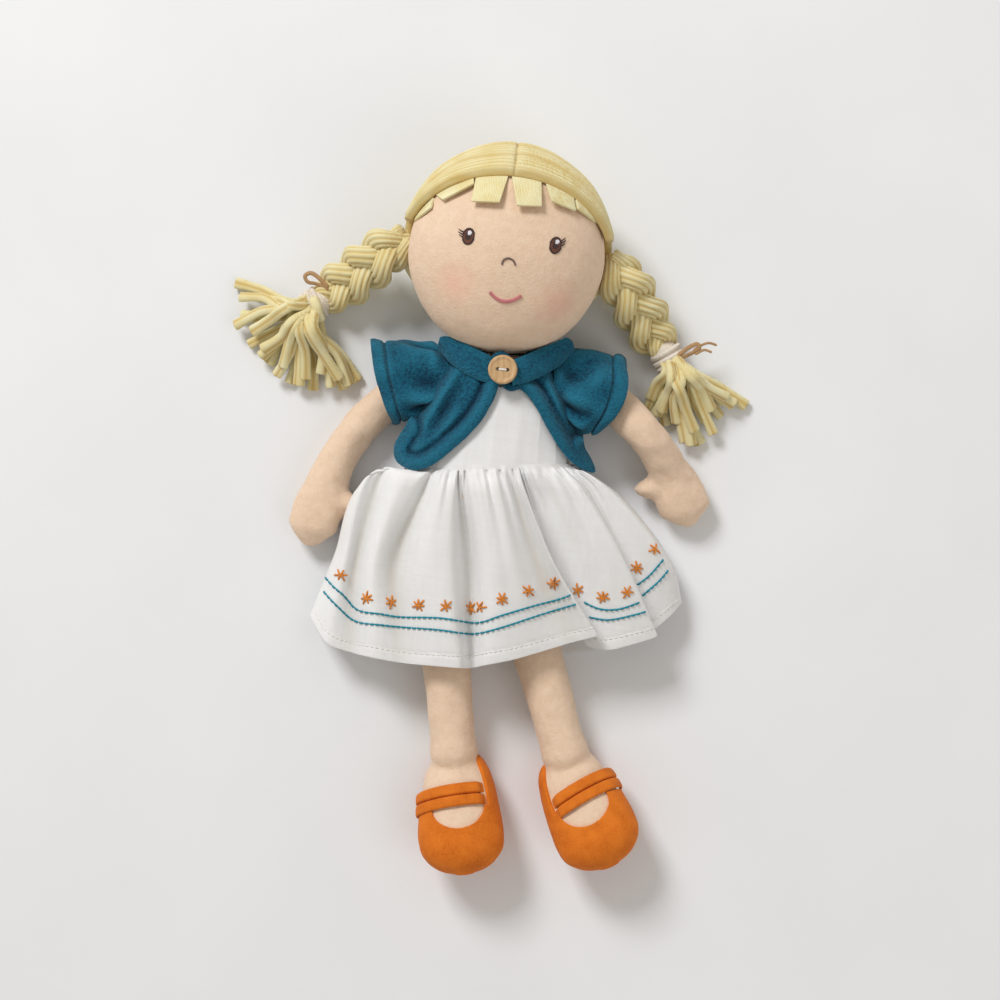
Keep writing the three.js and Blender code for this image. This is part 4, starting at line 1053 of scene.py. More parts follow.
def cloth_of(name, node, material, voxel, keep, relief=None, rounds=5):
    """Cloth piece cut like its solid: remeshed finely and raised off the torso by relief(point)."""
    obj = remeshed(copied(name, node, material), material, voxel, rounds, ("DECIMATE", {"ratio": keep}))
    return moved(obj, lambda p, n: p + torso_out(p) * relief(p)) if relief else obj


def make_bodice():
    def crease(p):
        return 0.45 * ripple((p.x, p.y * 0.5, p.z), 13, 2.0) + 0.2 * ripple(p, 5, 4.0)

    obj = cloth_of("dress_bodice_linen", "dress_bodice", linen, 0.42, 0.16, crease)
    finished(obj, "torso", "white_linen", "dress_bodice")


SKIRT_PLACES = (0.0, 0.14, 0.5, 1.0)
RELIEF_PLACES = (0.1, 0.5, 1.0)
# Each column of the front layer, left to right: pixels at the waist, shoulder, middle and hem, and its relief below
# the waist
SKIRT_COLUMNS = [
    ((399, 470), (357, 488), (335, 552), (310, 615), (0.0, 0.0, 0.0)),
    ((402, 469), (367, 477), (345, 558), (326, 642), (1.5, 2.0, 2.0)),
    ((408, 469), (384, 473), (357, 566), (350, 652), (-3.4, -6.6, -5.0)),
    ((420, 468), (404, 480), (374, 562), (374, 658), (2.6, 3.6, 2.4)),
    ((434, 468), (425, 487), (396, 565), (403, 663), (-4.8, -6.4, -1.8)),
    ((446, 467), (440, 488), (424, 565), (434, 666), (2.2, 2.6, 1.6)),
    ((455, 467), (452, 489), (449, 562), (459, 668), (1.8, 3.6, 3.0)),
    ((461, 467), (461, 490), (469, 562), (471, 668), (-6.0, -11.0, -8.4)),
    ((468, 466), (471, 489), (481, 562), (486, 665), (1.4, 2.6, 2.2)),
    ((482, 466), (486, 487), (499, 562), (512, 660), (4.4, 5.6, 4.0)),
    ((496, 466), (501, 487), (519, 562), (540, 652), (1.2, 2.6, 1.6)),
    ((508, 465), (514, 489), (537, 562), (570, 643), (-5.0, -6.4, -2.0)),
    ((516, 465), (524, 491), (553, 562), (597, 636), (4.2, 7.2, 5.4)),
    ((519, 465), (527, 492), (552, 560), (589, 634), (-3.2, -6.6, -7.0)),
    ((524, 465), (533, 492), (553, 558), (586, 645), (-6.0, -10.4, -10.0)),
    ((538, 464), (552, 491), (578, 558), (607, 650), (-3.6, -4.6, -3.6)),
    ((552, 464), (570, 488), (602, 558), (634, 644), (1.8, 2.6, 2.2)),
    ((560, 464), (583, 487), (624, 560), (657, 636), (2.2, 3.4, 3.4)),
    ((563, 464), (586, 487), (620, 558), (650, 630), (-3.4, -5.2, -4.8)),
    ((567, 464), (592, 486), (630, 555), (656, 628), (-4.0, -5.4, -4.6)),
    ((572, 464), (604, 486), (651, 546), (672, 614), (-1.2, -1.6, -1.4)),
    ((576, 464), (622, 497), (669, 558), (682, 602), (0.0, 0.0, 0.0)),
]
LAST_COLUMN = len(SKIRT_COLUMNS) - 1
COLUMN_STEPS = 8
# Columns of the front layer and of the back one at which the two halves meet
FRONT_SPLIT = 7 * COLUMN_STEPS
BACK_SPLIT = 34


def skirt_column(position, v):
    """Pixel and relief of the front layer at a column position, which may lie between two columns."""
    low = min(int(position), LAST_COLUMN - 1)
    four = []
    for *pixels, relief in around(SKIRT_COLUMNS, low):
        tables = [list(zip(SKIRT_PLACES, values)) for values in zip(*pixels)] + [list(zip(RELIEF_PLACES, relief))]
        four.append([value_at(table, v) for table in tables])
    return [spline(values, position - low) for values in zip(*four)]


def skirt_heights(v):
    middle = TORSO_MIDDLE + (0.4 + HEM_DEPTH / 9 - TORSO_MIDDLE) * v**0.6
    waist_top = TORSO_MIDDLE + TORSO_DEPTH / 2 + BODICE_GROW + 3.6 * min(v / 0.12, 1)
    return middle, waist_top + (HEM_DEPTH - waist_top) * v**1.4


def skirt_front_point(position, v):
    left, right = skirt_column(0, v), skirt_column(LAST_COLUMN, v)
    px, py, relief = skirt_column(position, v)
    u = min(max(2 * (px - left[0]) / (right[0] - left[0]) - 1, -1), 1)
    middle, top = skirt_heights(v)
    crown = max(1 - u * u, 0) ** CROWN_POWER
    fold = relief * smooth(v, 0.0, 0.16) * min(4 * crown, 1)
    turn = position * 2 * math.pi
    gather = 1.9 * math.cos(turn * 0.83 + 1.4 * math.sin(position * 1.9)) * math.exp(-v / 0.32)
    gather += 1.4 * math.cos(turn * 1.9 + 0.9 * math.sin(position * 2.7)) * math.exp(-v / 0.15)
    from_hem = (1 - v) * SKIRT_LENGTH
    hem = 0.35 * smooth(from_hem, 6.5, 4.5) - 0.45 * bump_at(from_hem, HEM_SEAM, 0.6)
    z = middle + (top - middle) * crown + fold + (gather * smooth(v, 0.0, 0.035) + hem) * crown
    z += (0.5 * ripple((px * 0.5, py * 0.25, 1), 9, 6.0) + 0.8 * ripple((px * 0.5, py * 0.3, 4), 20, 2.0) * v) * crown
    point = placed(px, py, max(z, 1.6))
    sewn = 1 - smooth(v, 0.0, 0.05)
    if sewn > 0 and z > TORSO_MIDDLE + 4:
        point.z += (bodice_top(point.x, point.y) - 0.35 - point.z) * sewn
    return point


def skirt_back_point(t, v):
    """Under layer, from the right edge (t = 0) to the left one (t = 1)."""
    right, left = skirt_front_point(LAST_COLUMN, v), skirt_front_point(0, v)
    u = 1 - 2 * t
    crown = max(1 - u * u, 0) ** CROWN_POWER
    point = right.lerp(left, t) + heading(WAIST_TILT - 90) * ((HEM_DIP - 5) * v * (1 - u**4))
    edge = right.z + (left.z - right.z) * t
    point.z = max(edge + (0.9 - skirt_heights(v)[0]) * crown + 0.4 * math.cos(9 * math.pi * t) * v * crown, 0.9)
    return point


def make_skirt():
    """Both halves of the skirt, sewn to the bodice; gives the tree of their faces."""
    places = [0.0, 0.012, 0.03, 0.05, 0.075, 0.1, 0.13, 0.165, *[0.165 + (0.9 - 0.165) * i / 26 for i in range(1, 27)]]
    places += [0.915, 0.93, 0.94, 0.95, 0.96, 0.975, 0.99, 1.0]
    front = [i / COLUMN_STEPS for i in range(LAST_COLUMN * COLUMN_STEPS + 1)]
    back = shares(60)[1:-1]
    whole = [[skirt_front_point(p, v) for p in front] + [skirt_back_point(t, v) for t in back] for v in places]
    total, middle = len(front) + len(back), len(front) + BACK_SPLIT
    halves = {"right": range(FRONT_SPLIT, middle), "left": range(middle - 1, total + FRONT_SPLIT + 1)}
    points, faces = [], []
    for side, columns in halves.items():
        shape = Parts().grid([[row[k % total] for k in columns] for row in whole])
        obj = shape.make(f"dress_skirt_{side}_linen", linen)
        area = turned_out(obj, lambda p: p.normal.z * p.area * (p.center.z > 0.02))
        with_folds(thick(obj, SKIRT_WALL), 24, 1.8)
        follows(obj, skirt_weight(side))
        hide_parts("dress_skirt")
        faces.extend(tuple(k + len(points) for k in p.vertices) for p in obj.data.polygons)
        points.extend(v.co / MM for v in obj.data.vertices)
    return BVHTree.FromPolygons(points, faces)


def split_at(y):
    """Where the two halves of the skirt meet, across, at a distance down the doll."""
    return value_at([(0.0, -19.5), (0.5, -10.0), (1.0, 0.6)], (-y - 20) / 100)


def skirt_weight(side):
    return lambda p: smooth(-p.y, 42, 76) * smooth(SIGN[side] * (p.x - split_at(p.y)), 1.5, 15)


RUNNING_LINES = [
    [
        (325, 577), (334, 587), (343, 595), (358, 610), (380, 614), (400, 617), (440, 618), (476, 623), (500, 616),
        (530, 607), (560, 599), (575, 593),
    ],
    [
        (320, 587), (337, 606), (355, 621), (380, 625), (400, 627), (440, 630), (472, 634), (500, 628), (540, 615),
        (580, 603),
    ],
    [(584, 602), (600, 609), (620, 609), (643, 601)],
    [(589, 617), (608, 620), (630, 616), (648, 611)],
    [(637, 585), (650, 575), (666, 556)],
    [(642, 596), (660, 580), (671, 566)],
]
STARS = [
    (341, 575), (367, 598), (391, 602), (419, 605), (446, 606), (472, 608), (480, 607), (502, 599), (528, 591),
    (554, 583), (578, 590), (603, 597), (627, 592), (637, 568), (655, 549),
]
# One stitch as pairs of a share along it and a lift off the cloth
BACKSTITCH = ((0.1, -0.35), (0.28, 0.36), (0.5, 0.5), (0.72, 0.36), (0.9, -0.35))
STAR_RAY = ((0.05, 0.5), (0.35, 0.65), (0.7, 0.5), (1.0, 0.1))
HEM_STITCH = ((0, 0.1), (1, 0.5), (2, 0.5), (3, 0.1))
HEM_STEP = 0.042


def make_embroidery(tree):
    """Backstitched running lines, star stitches and the hem's stitches, sewn to each half of the skirt."""
    sewn = {label: {"left": Parts(), "right": Parts()} for label in ("running", "star", "hem")}

    def sew(label, points, middle, radius, sides):
        half = "left" if middle.x < split_at(middle.y) else "right"
        sewn[label][half].tube(points, radius, sides=sides)

    for pixels in RUNNING_LINES:
        place = spaced(rounded(flat(pixels), 10), 5.3)
        for a, b in zip(place, place[1:]):
            points = [seen_at(tree, *a.lerp(b, t).xy, lift) for t, lift in BACKSTITCH]
            if all(points):
                sew("running", points, points[2], 0.54, 6)
    for order, (px, py) in enumerate(STARS):
        rays = 7 if order % 2 else 6
        for k in range(rays):
            turn = 2 * math.pi * k / rays + 0.35 * order
            length = 5.9 + 0.9 * math.sin(order * 3 + k * 2.3)
            ray = [(px + math.cos(turn) * length * s, py + math.sin(turn) * length * s, lift) for s, lift in STAR_RAY]
            points = [seen_at(tree, *spot) for spot in ray]
            if all(points) and max(p.z for p in points) - min(p.z for p in points) < 6:
                sew("star", points, points[0], 0.48, 6)
    position = 0.2
    while position < LAST_COLUMN - 0.3:
        points = [skirt_front_point(position + k * HEM_STEP, 0.943) + Vector((0, 0, lift)) for k, lift in HEM_STITCH]
        if (points[-1] - points[0]).length > 0.6:
            sew("hem", points, points[1], 0.3, 5)
        position += 0.19
    for (label, halves), material in zip(sewn.items(), (teal_thread, orange_thread, white_thread)):
        for side, shape in halves.items():
            obj = shape.make(f"skirt_{side}_{label}_stitches", material)
            follows(obj, skirt_weight(side))


# Jacket
def from_line(point, line):
    """Distance in plan from a point to a line of points."""
    best = 1e9
    for a, b in zip(line, line[1:]):
        edge = b - a
        t = min(max((point - a).dot(edge) / edge.length_squared, 0), 1)
        best = min(best, (point - a - edge * t).length)
    return best


def inside(spot, closed):
    hit = False
    for a, b in zip(closed, closed[1:]):
        if (a.y > spot.y) != (b.y > spot.y) and spot.x < a.x + (spot.y - a.y) / (b.y - a.y) * (b.x - a.x):
            hit = not hit
    return hit


def panel(name, free, hidden, height):
    """Flat-cut panel: a free edge and a sewn one in plan, filled with points, with its height given by a function."""
    free = spaced(rounded(flat(free), 10), PANEL_STEP)
    outline = [p.xy for p in free + spaced([free[-1], *flat(hidden), free[0]], PANEL_STEP)[1:-1]]
    closed = [*outline, outline[0]]
    xs, ys = [p.x for p in outline], [p.y for p in outline]
    inner = []
    row = 0
    y = min(ys)
    while y < max(ys):
        x = min(xs) + (PANEL_STEP / 2 if row % 2 else 0)
        while x < max(xs):
            spot = Vector((x, y))
            if inside(spot, closed) and from_line(spot, closed) > PANEL_STEP * 0.55:
                inner.append(spot)
            x += PANEL_STEP
        y += PANEL_STEP * 0.87
        row += 1
    points, _, faces, *_ = delaunay_2d_cdt(outline + inner, [], [list(range(len(outline)))], 1, 1e-5)
    free_line = [p.xy for p in free]
    shape = Parts()
    shape.points = [Vector((p.x, p.y, height(p.x, p.y, from_line(p, free_line)))) for p in points]
    shape.faces = [tuple(f) for f in faces]
    return shape.make(name, teal_velour)


# Each front's free edge and its sewn one in plan, the seed of its crumples and how far its corner lifts
FRONTS = {
    "left": (
        [
            (-1.2, 36.5), (-1.7, 23), (-8.8, 6.8), (-20, -7), (-32, -18), (-42, -20.5), (-50.5, -16.5), (-52.5, -8),
            (-48, 2),
        ],
        [(-45, 8), (-42, 16), (-36, 30), (-33, 40), (-24, 43), (-12, 39)], 2.0, 0.4,
    ),
    "right": (
        [(2.4, 38), (5.4, 29), (15.5, 22), (29.4, 3), (39, -7), (48, -11.5), (54, -11.5), (51.5, -5), (46.5, 1)],
        [(45, 8), (42, 16), (37, 32), (34, 42), (24, 44), (12, 41)], 7.0, 0.9,
    ),
}


def make_front(side):
    free_edge, hidden, seed, corner = FRONTS[side]
    (top_x, top_y), (foot_x, foot_y) = FOLD_LINE

    def height(x, y, free):
        band = 2.8 * max(1 - ((free - 3.9) / 4.4) ** 2, -0.4) if free < 8.4 else 0.0
        band -= 2.2 * bump_at(free, 8.9, 1.1)
        crumple = 2.8 * ripple((x * 0.8, y * 0.5, 0), 12, seed) + 0.3 * ripple((x, y, 0), 6, seed)
        pull = 2.6 * math.cos(0.55 * (x * 0.85 + SIGN[side] * y * 0.45)) * smooth(abs(x), 16, 30) * smooth(y, -10, 12)
        lifted = 2.2 * smooth(-y, 2, 18) * corner
        return jacket_top(x, y) + 0.2 + band + (crumple + pull) * smooth(free, 5, 12) + lifted

    def weight(p):
        line = top_x + (foot_x - top_x) * (p.y - top_y) / (foot_y - top_y)
        return smooth(line - abs(p.x), 0.5, 8.0)

    obj = panel(f"jacket_front_{side}_velour", free_edge, hidden, height)
    area = turned_out(obj, lambda p: p.normal.z)
    baked(obj, ("SMOOTH", {"factor": 0.4, "iterations": 2}), ("SUBSURF", {"levels": 1}))
    with_folds(thick(obj, VELOUR_WALL), 50, 1.1)
    follows(obj, weight)
    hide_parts(f"jacket_front_{side}")


def make_jacket():
    def rumpled(p):
        hem = 0.7 * bump_at(p.y, JACKET_HEM + 3.5, 3.0) - 0.5 * bump_at(p.y, JACKET_HEM + 8, 0.9)
        return 0.6 * ripple(p, 10, 5.0) + max(hem, -0.5)

    def under_fronts(p, n):
        corner = smooth(abs(p.x), 28, 40) * smooth(-p.y, -2, 7)
        return Vector((p.x - math.copysign(5.0, p.x) * corner, p.y + 3.0 * corner, max(p.z, 0.1)))

    back = moved(cloth_of("jacket_back_velour", "jacket_back", teal_velour, 0.6, 0.22, rumpled), under_fronts)
    finished(back, "torso", "teal_velour", "jacket_back")
    for side in SIGN:
        make_front(side)
        make_sleeve(side)
        make_collar(side, f"{side}_front")
    make_collar("back", "torso")


# Each sleeve's stations from the armhole to the cuff: pixels of its upper and lower edge, its lowest and highest
# point, and how far its middle stands out past the edges' line
SLEEVES = {
    "left": [
        (452, 354, 452, 396, 9.0, 36.0, 0), (434, 347, 434, 412, 4.5, 37.8, 0), (416, 343.5, 419, 417, 2.4, 37.6, 0),
        (400, 341.5, 410, 421, 1.2, 36.6, 1), (384, 340, 402, 423, 0.5, 36.0, 3),
        (370.5, 338.5, 393, 424, 0.4, 34.0, 5),
    ],
    "right": [
        (554, 358, 554, 402, 9.0, 38.0, 0), (568, 353, 568, 420, 7.0, 40.0, 0), (584, 351, 578, 431, 5.6, 42.0, 2),
        (599, 351, 584, 433, 5.0, 43.0, 6), (613, 353, 590, 434, 5.0, 42.4, 10),
        (625, 357.5, 597, 434.5, 5.6, 41.0, 14),
    ],
}


def sleeve_ring(side, share, lift=0.0):
    """Points round a sleeve at a share of its length, with its gathers, its turned-up cuff and the cuff's seam."""
    x0, y0, x1, y1, low, high, out = (value_at(table, share) for table in tables_of(SLEEVES[side]))
    upper, lower = flat([(x0, y0), (x1, y1)])
    middle, half = (upper + lower) / 2, (upper - lower) / 2
    outward = Vector((-half.y, half.x, 0)).normalized()
    outward = outward if outward.x * SIGN[side] > 0 else -outward
    axis = placed(middle.x, middle.y, (low + high) / 2)
    points = []
    for t in turns(SLEEVE_SIDES):
        c, s = (math.copysign(abs(value) ** 0.86, value) for value in (math.cos(t), math.sin(t)))
        spot = middle + half * c + outward * (out * (1 - c * c))
        point = placed(spot.x, spot.y, (low + high) / 2 + (high - low) / 2 * s)
        folds = 2.8 * math.cos(7 * t + 1.6 * math.sin(2 * t + 1) + 2.2 * share + SIGN[side])
        swell = folds * (1 - smooth(share, 0.2, 0.74)) * smooth(share, 0.06, 0.22)
        swell += 1.8 * ripple(point, 12, 4.0 + SIGN[side]) * smooth(share, 0.1, 0.3)
        swell += 1.1 * max(1 - ((share - 0.91) / 0.1) ** 2, -0.3) * smooth(share, CUFF_SEAM - 0.02, CUFF_SEAM + 0.02)
        swell -= 1.2 * bump_at(share, CUFF_SEAM, 0.022)
        point += (point - axis).normalized() * (swell + lift)
        point.z = max(point.z, 0.3)
        points.append(point)
    return points


def make_sleeve(side):
    """Puffed sleeve, gathered into the armhole and hemmed with a turned-up cuff."""
    places = [0.0, 0.04, 0.08, 0.12, *[0.12 + 0.62 * i / 24 for i in range(1, 25)], 0.755, 0.77, 0.782, 0.792, 0.8]
    places += [0.808, 0.818, 0.83, 0.85, 0.875, 0.9, 0.925, 0.95, 0.97, 0.985, 1.0]
    shape = Parts().grid([sleeve_ring(side, share) for share in places], closed=True)
    obj = shape.make(f"sleeve_{side}_velour", teal_velour)
    centre = sum((Vector(v.co) for v in obj.data.vertices), Vector()) / len(obj.data.vertices)
    area = turned_out(obj, lambda p: (p.center - centre).dot(p.normal) * p.area)
    with_folds(thick(obj, VELOUR_WALL), 24, 1.1)
    seam = sleeve_ring(side, CUFF_SEAM, 0.15)
    stitches = Parts()
    for a, b in zip(seam[::2], seam[1::2]):
        if min(a.z, b.z) > 0.8:
            stitches.tube([a, (a + b) / 2, b], 0.26, sides=5)
    for piece in (obj, stitches.make(f"sleeve_{side}_hem_stitches", seam_thread)):
        follows(piece, lambda p: smooth(abs(p.x), 34, 60))
    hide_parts(f"sleeve_{side}")


# Front halves of the standing collar, from the button outwards: pixels of the seam and of the free edge
COLLARS = {
    "left": [
        (512, 385.5, 509, 361), (498, 384.5, 496, 358), (484, 382, 485, 353), (471, 377, 474, 347.5),
        (459, 370, 464, 342.5), (449, 362, 455, 338.5), (441, 353, 446, 336), (437, 347, 440, 337),
    ],
    "right": [
        (513, 386, 511, 360.5), (528, 382, 520, 357), (541, 376.5, 533, 351.5), (552, 370.5, 547, 345.5),
        (562, 364, 559, 340.5), (570, 356, 567, 337.5), (575, 350, 572.5, 341),
    ],
}


def collar_point(side, share, s):
    """Point of a front collar at a share along it and a share from its seam to its edge."""
    seam_x, seam_y, edge_x, edge_y = (value_at(table, share) for table in tables_of(COLLARS[side]))
    px, py = seam_x + (edge_x - seam_x) * s, seam_y + (edge_y - seam_y) * s
    across = min(abs(placed(px, py, 40).x) / COLLAR_HALF, 0.985)
    depth = COLLAR_FRONT + (2.6 * bump_at(share, 0, 0.3) if side == "right" else 0)
    z = TORSO_MIDDLE + depth * math.sqrt(1 - across**2)
    z += 1.2 * math.sin(math.pi * s) + 1.6 * s * share + 0.5 * ripple((px * 0.5, py * 0.5, 0), 8, 9.0)
    return placed(px, py, z - (1.0 * bump_at(s, 0.0, 0.08) + 0.5 * bump_at(s, 1.0, 0.06)))


def make_collar(side, body):
    """Standing collar of doubled velour; the piece behind the neck is cut like its solid."""
    if side == "back":
        cloth = ("collar_back_velour", "collar_back", teal_velour, 0.5, 0.4)
        obj = kept_above(cloth_of(*cloth, lambda p: 0.35 * ripple(p, 6, 9.0)), 0.1)
        area = one_side(obj)
    else:
        shape = Parts().grid([[collar_point(side, share, s) for s in shares(16)] for share in shares(48)])
        obj = shape.make(f"collar_{side}_velour", teal_velour)
        area = turned_out(obj, lambda p: p.normal.z)
        with_folds(thick(obj, COLLAR_WALL), 24, 0.9)
    finished(obj, body, "teal_velour", f"collar_{side}")


def turned_wood():
    wood, tree, shader, place = surface("turned_beech")
    grain = noise_in(tree, stretched(tree, place, (1.0, 0.16, 1.0)), 1500.0, 4.0, Distortion=0.5)
    broad = wave_in(tree, place, "X", 90.0, 6.0, 2.0, 0.8)
    base = mixed(tree, ranged(tree, grain, 0.0, 1.0, 0.35, 0.65), (0.42, 0.245, 0.105), (0.54, 0.345, 0.17))
    base = mixed(tree, ranged(tree, broad, 0.0, 0.5), base, (0.62, 0.425, 0.225))
    rough = ranged(tree, grain, 0.45, 0.62)
    fed(tree, shader, {"Base Color": base, "Roughness": rough, "Normal": raised(tree, grain, 0.3, 0.0002)})
    return wood


# Button: radius and height of its turned profile, half the pitch of its holes, and one stitch over them
BUTTON_PROFILE = [
    (0.01, 0.0), (6.4, 0.0), (7.2, 0.4), (7.5, 1.2), (7.4, 2.1), (7.0, 2.6), (6.5, 2.75), (6.0, 2.65), (5.6, 2.35),
    (5.2, 2.2), (4.6, 2.15), (3.0, 2.1), (0.01, 2.1),
]
HOLE_HALF_PITCH = 2.4
HOLE_RADIUS = 0.95
BUTTON_STITCH = ((-2.0, 0.4), (-1.75, 2.1), (-1.0, 2.45), (0, 2.5), (1.0, 2.45), (1.75, 2.1), (2.0, 0.4))
# The velour loop below and above the button: pixel, depth under the button, its three points and its radius
NUBS = (
    (511, 388, 5.0, ((-3, 1.5, 0), (0, 0.2, 0.5), (3.4, 1.6, 0)), 2.0),
    (502, 355.5, 3.4, ((-3.4, -1.2, 0), (0, 0.6, 0.4), (3.2, -1.6, 0)), 1.9),
)


def make_closure():
    for name, body in (("closure_loop_pad", "left_front"), ("closure_hook_pad", "right_front")):
        finished(cloth_of(f"{name}_fleece", name, tie_cotton, 0.2, 0.5, rounds=2), body, "tie_ribbon", name)
    wood = turned_wood()
    low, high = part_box("button")
    centre = Vector((low + high) / 2) / MM
    centre.z = low.z / MM
    rows = [[centre + Vector((r * math.cos(t), r * math.sin(t), z)) for t in turns(64)] for r, z in BUTTON_PROFILE]
    disc = Parts().grid(rows, closed=True, caps=True).make("button_disc", wood)
    for sign in SIGN.values():
        path = [centre + Vector((sign * HOLE_HALF_PITCH, 0, z)) for z in (-2, 2, 5)]
        cut_by(disc, [Parts().tube(path, HOLE_RADIUS, sides=16).make("button_bore", wood)])
    finished(painted(disc, wood), "right_front", "button_wood", "button")
    sewing, nub = Parts(), Parts()
    for shift in (-0.25, 0.25):
        sewing.tube(rounded([centre + Vector((x, shift, z)) for x, z in BUTTON_STITCH], 4), 0.26, sides=6)
    finished(sewing.make("button_thread", white_thread), "right_front", "button_wood")
    for px, py, drop, bend, radius in NUBS:
        spot = placed(px, py, centre.z - drop)
        nub.tube(rounded([spot + Vector(step) for step in bend], 4), radius, sides=12)
    finished(nub.make("closure_velour_nub", teal_velour), "right_front", "teal_velour")


# Shoes
def foot_frame(side):
    """Heel and the three directions of one foot."""
    turn, foot_turn = LEG_TURNS[side]
    ankle = Vector((HIP_SHIFT + SIGN[side] * HIP_SPREAD, -HIP_SEAM, 0)) + heading(turn - 90) * LEG_LENGTH
    ankle.z = LEG_WIDTH / 2 - FLOOR_CUT
    pitch = math.radians(FOOT_PITCH)
    along = heading(foot_turn - 90) * math.cos(pitch) + Vector((0, 0, math.sin(pitch)))
    return ankle - along * HEEL_BACK, along, *crossing(along)


def foot_point(foot, share, angle, grow):
    heel, along, across, up = foot
    toe = math.sqrt(max(1 - (max(share - TOE_START, 0) / 0.268) ** 2, 0))
    wall = grow * (0.3 + 0.7 * toe)
    half_across = FOOT_WIDTH / 2 * value_at(FOOT_WIDTHS, min(share, TOE_START)) * toe + wall
    half_up = FOOT_DEPTH / 2 * value_at(FOOT_DEPTHS, min(share, TOE_START)) * toe + wall
    centre = heel + along * (FOOT_LENGTH * share)
    return centre + across * (half_across * math.cos(angle)) + up * (half_up * math.sin(angle))


def foot_shape(foot, grow, end=1.0):
    """Closed form of one foot, finely stepped, grown all round and cut off at a share of its length."""
    rows = [[foot_point(foot, end * i / 60, t, grow) for t in turns(72)] for i in range(61)]

    def cap(base, way):
        middle = sum(base, Vector()) / len(base)
        rings = [(scale, foot[1] * (way * out * (0.4 + grow))) for scale, out in ((0.8, 0.3), (0.45, 0.5))]
        return [[middle + (p - middle) * scale + shift for p in base] for scale, shift in rings]

    rows = [*cap(rows[0], -1)[::-1], *rows, *cap(rows[-1], 1)]
    return Parts().grid(rows, closed=True, caps=True).make("foot_form", suede)


def block_in_foot(foot, share, lift, half_across, half_along, half_up, sides=4):
    """Block or, with many sides, an oval pillar that stands across the foot."""
    heel, along, across, up = foot
    centre = heel + along * (FOOT_LENGTH * share) + up * lift
    grow = math.sqrt(2) if sides == 4 else 1
    plan = [
        across * (half_across * grow * math.cos(t)) + along * (half_along * grow * math.sin(t))
        for t in turns(sides, 0.5)
    ]
    rows = [[centre + p + up * (way * half_up) for p in plan] for way in (-1, 1)]
    return Parts().grid(rows, closed=True, caps=True).make("foot_block", suede)


def make_shoe(side):
    foot = heel, along, across, up = foot_frame(side)
    shoe = foot_shape(foot, SHOE_GROW)
    shoe.name = f"shoe_{side}_suede"
    tilt = -SIGN[side] * math.radians(TOP_LINE_TILT)
    cos, sin = math.cos(tilt), math.sin(tilt)
    tilted = (heel, along, across * cos - up * sin, up * cos + across * sin)
    half_up, top_line = FOOT_DEPTH / 2, THROAT_PLACE - TOP_LINE_BACK[side]
    cut_by(shoe, [
        foot_shape(foot, -0.5, 0.94),
        block_in_foot(foot, THROAT_PLACE, half_up, THROAT_WIDTH / 2, THROAT_LENGTH, half_up, sides=64),
        block_in_foot(tilted, top_line, TOP_LINE_LIFT + FOOT_DEPTH, FOOT_WIDTH, FOOT_LENGTH / 2, FOOT_DEPTH),
    ])
    remeshed(shoe, suede, 0.45, 5, ("DECIMATE", {"ratio": 0.2}))
    sole = -half_up * SOLE_DROP

    def seamed(p, n):
        seam = 0.5 * bump_at((p - heel).dot(up), sole, 0.7)
        return p + n * (0.15 * ripple(p, 5, 3.0) + 0.25 * ripple(p, 14, 6.0) - seam)

    kept_above(moved(shoe, seamed), 0.05)
    finished(shoe, f"{side}_leg", "shoe_suede", f"shoe_{side}_upper", f"shoe_{side}_sole")
    make_strap(side, foot)


def make_strap(side, foot):
    """Flat tape with a groove down its middle, over the instep, and the stitches in the groove."""
    first, last, slant = STRAP_ENDS[side]

    def strap_point(i, place, grow):
        angle = math.radians(first + (last - first) * i / 60)
        return foot_point(foot, STRAP_PLACE + place + slant * math.cos(angle), angle, grow)

    rows = []
    for i in range(61):
        tuck = 2.2 * smooth(i / 60 if side == "left" else 1 - i / 60, 0.9, 1.0)
        row = []
        for j in range(25):
            w = -1 + 2 * j / 24
            tape = 2.2 + 0.6 * abs(math.sin(math.pi * w)) ** 0.5 - 1.5 * bump_at(w, 0.0, 0.06)
            tape -= 0.5 * smooth(abs(w), 0.88, 1.0) + tuck
            grow = SHOE_GROW + tape - STRAP_WALL + 0.25 * ripple((i * 0.2, w, 0), 1.0, 3)
            row.append(strap_point(i, w * STRAP_HALF / FOOT_LENGTH, grow))
        rows.append(row)
    strap = Parts().grid(rows).make(f"shoe_{side}_strap_tape", suede)
    centre = (foot[0] + foot[1] * (FOOT_LENGTH * STRAP_PLACE)) * MM
    turned_out(strap, lambda p: (p.center - centre).dot(p.normal) * p.area)
    kept_above(thick(strap, STRAP_WALL), 0.1)
    finished(strap, f"{side}_leg", "shoe_suede", f"shoe_{side}_strap")
    stitches = Parts()
    for i in range(3, 57, 2):
        stitches.tube([strap_point(i + d, 0, SHOE_GROW - 0.35) for d in (0, 0.6, 1.2)], 0.3, sides=5)
    finished(stitches.make(f"shoe_{side}_strap_stitches", shoe_thread), f"{side}_leg", "shoe_suede")


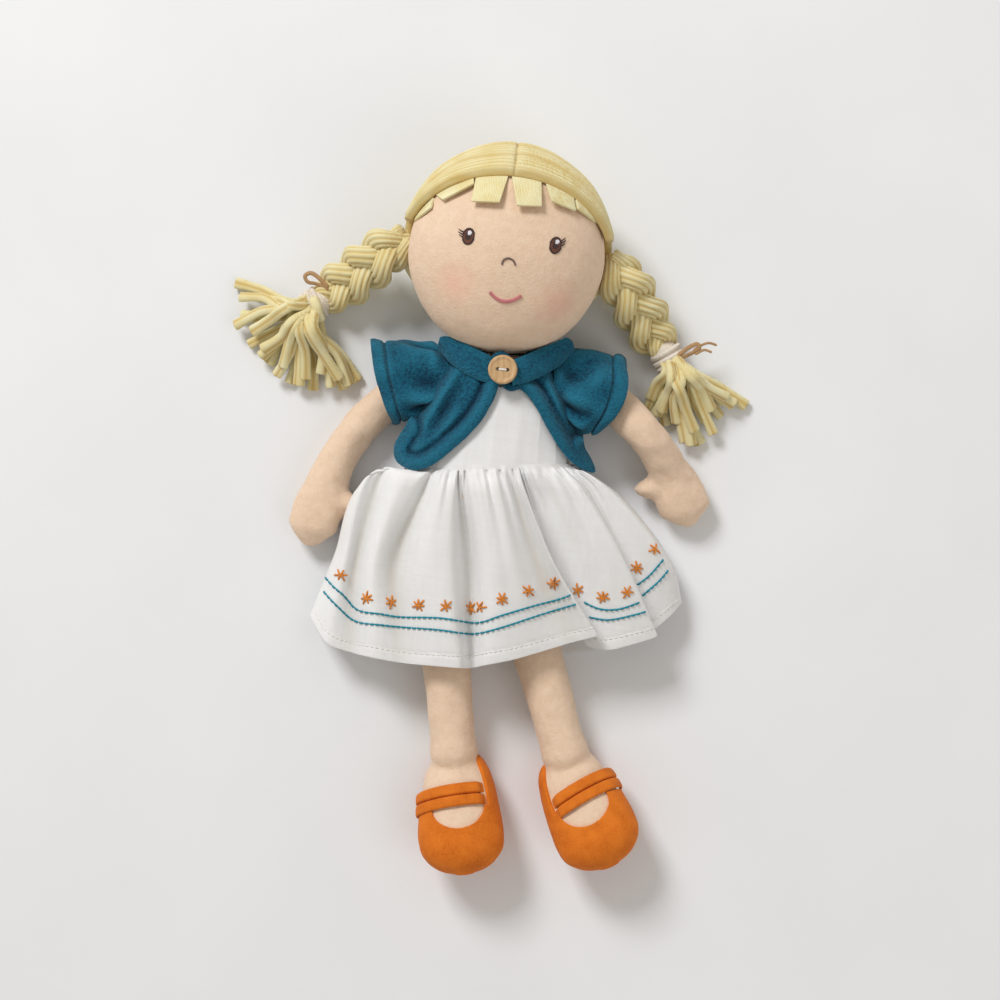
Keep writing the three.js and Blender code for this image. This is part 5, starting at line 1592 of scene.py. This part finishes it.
# Floor, light and camera
def make_stage():
    ground, tree, shader, place = surface("pale_floor")
    cloudy = ranged(tree, noise_in(tree, place, 9.0, 3.0), 0.0, 1.0, 0.3, 0.7)
    base = mixed(tree, cloudy, (0.81, 0.825, 0.85), (0.84, 0.855, 0.88))
    fed(tree, shader, {"Base Color": base, "Roughness": 0.95, "Specular IOR Level": 0.1})
    floor = Parts().grid([[Vector((x * FLOOR_HALF, y * FLOOR_HALF, 0)) for x in (-1, 1)] for y in (-1, 1)])
    floor.make("floor", ground)

    # The camera sees a white room, and the doll is lit by a warm dim one
    world = bpy.data.worlds.new("studio")
    bpy.context.scene.world = world
    world.use_nodes = True
    tree = world.node_tree
    tree.nodes.clear()
    path = node_in(tree, "ShaderNodeLightPath", {}).outputs
    seen = math_in(tree, "MAXIMUM", path["Is Camera Ray"], path["Is Glossy Ray"])
    shown = math_in(tree, "MAXIMUM", seen, path["Is Transmission Ray"])
    rooms = [
        node_in(tree, "ShaderNodeBackground", {"Color": (*colour, 1.0), "Strength": strength}).outputs[0]
        for colour, strength in (((1.0, 0.94, 0.86), 0.46), ((1.0, 1.0, 1.0), 1.0))
    ]
    choice = node_in(tree, "ShaderNodeMixShader", {0: shown, 1: rooms[0], 2: rooms[1]})
    node_in(tree, "ShaderNodeOutputWorld", {"Surface": choice.outputs[0]})

    for name, (place, size, power) in LAMPS.items():
        lamp = bpy.data.lights.new(name, "AREA")
        lamp.shape = "SQUARE"
        lamp.size = size
        lamp.energy = power
        holder = added(name, lamp)
        holder.location = place
        holder.rotation_mode = "QUATERNION"
        holder.rotation_quaternion = (Vector((0, 0, 0.02)) - Vector(place)).to_track_quat("-Z", "Y")

    lens = bpy.data.cameras.new("camera")
    lens.sensor_width = 36.0
    lens.lens = lens.sensor_width * CAMERA.z / (FLOOR_MM_PER_PIXEL * 1000)
    camera = added("camera", lens)
    camera.location = CAMERA * MM
    camera.rotation_euler = (0, 0, math.radians(CAMERA_ROLL))
    bpy.context.scene.camera = camera
    bpy.context.scene.view_settings.view_transform = "Standard"


# Build
stuffed("torso", "torso", 2.6, 0.8)
stuffed("neck", "neck", 2.0, 0.6)
make_limbs("left", 3.0)
make_limbs("right", 8.0)
head_cloth = make_head()
make_face(head_cloth)
for hair_side in SIGN:
    hair_cap(hair_side)
    make_braid(hair_side)
    make_tie(hair_side)
    make_tassel(hair_side)
make_fringe(tree_of(head_cloth))
make_bodice()
make_embroidery(make_skirt())
make_jacket()
make_closure()
for shoe_side in SIGN:
    make_shoe(shoe_side)
make_stage()
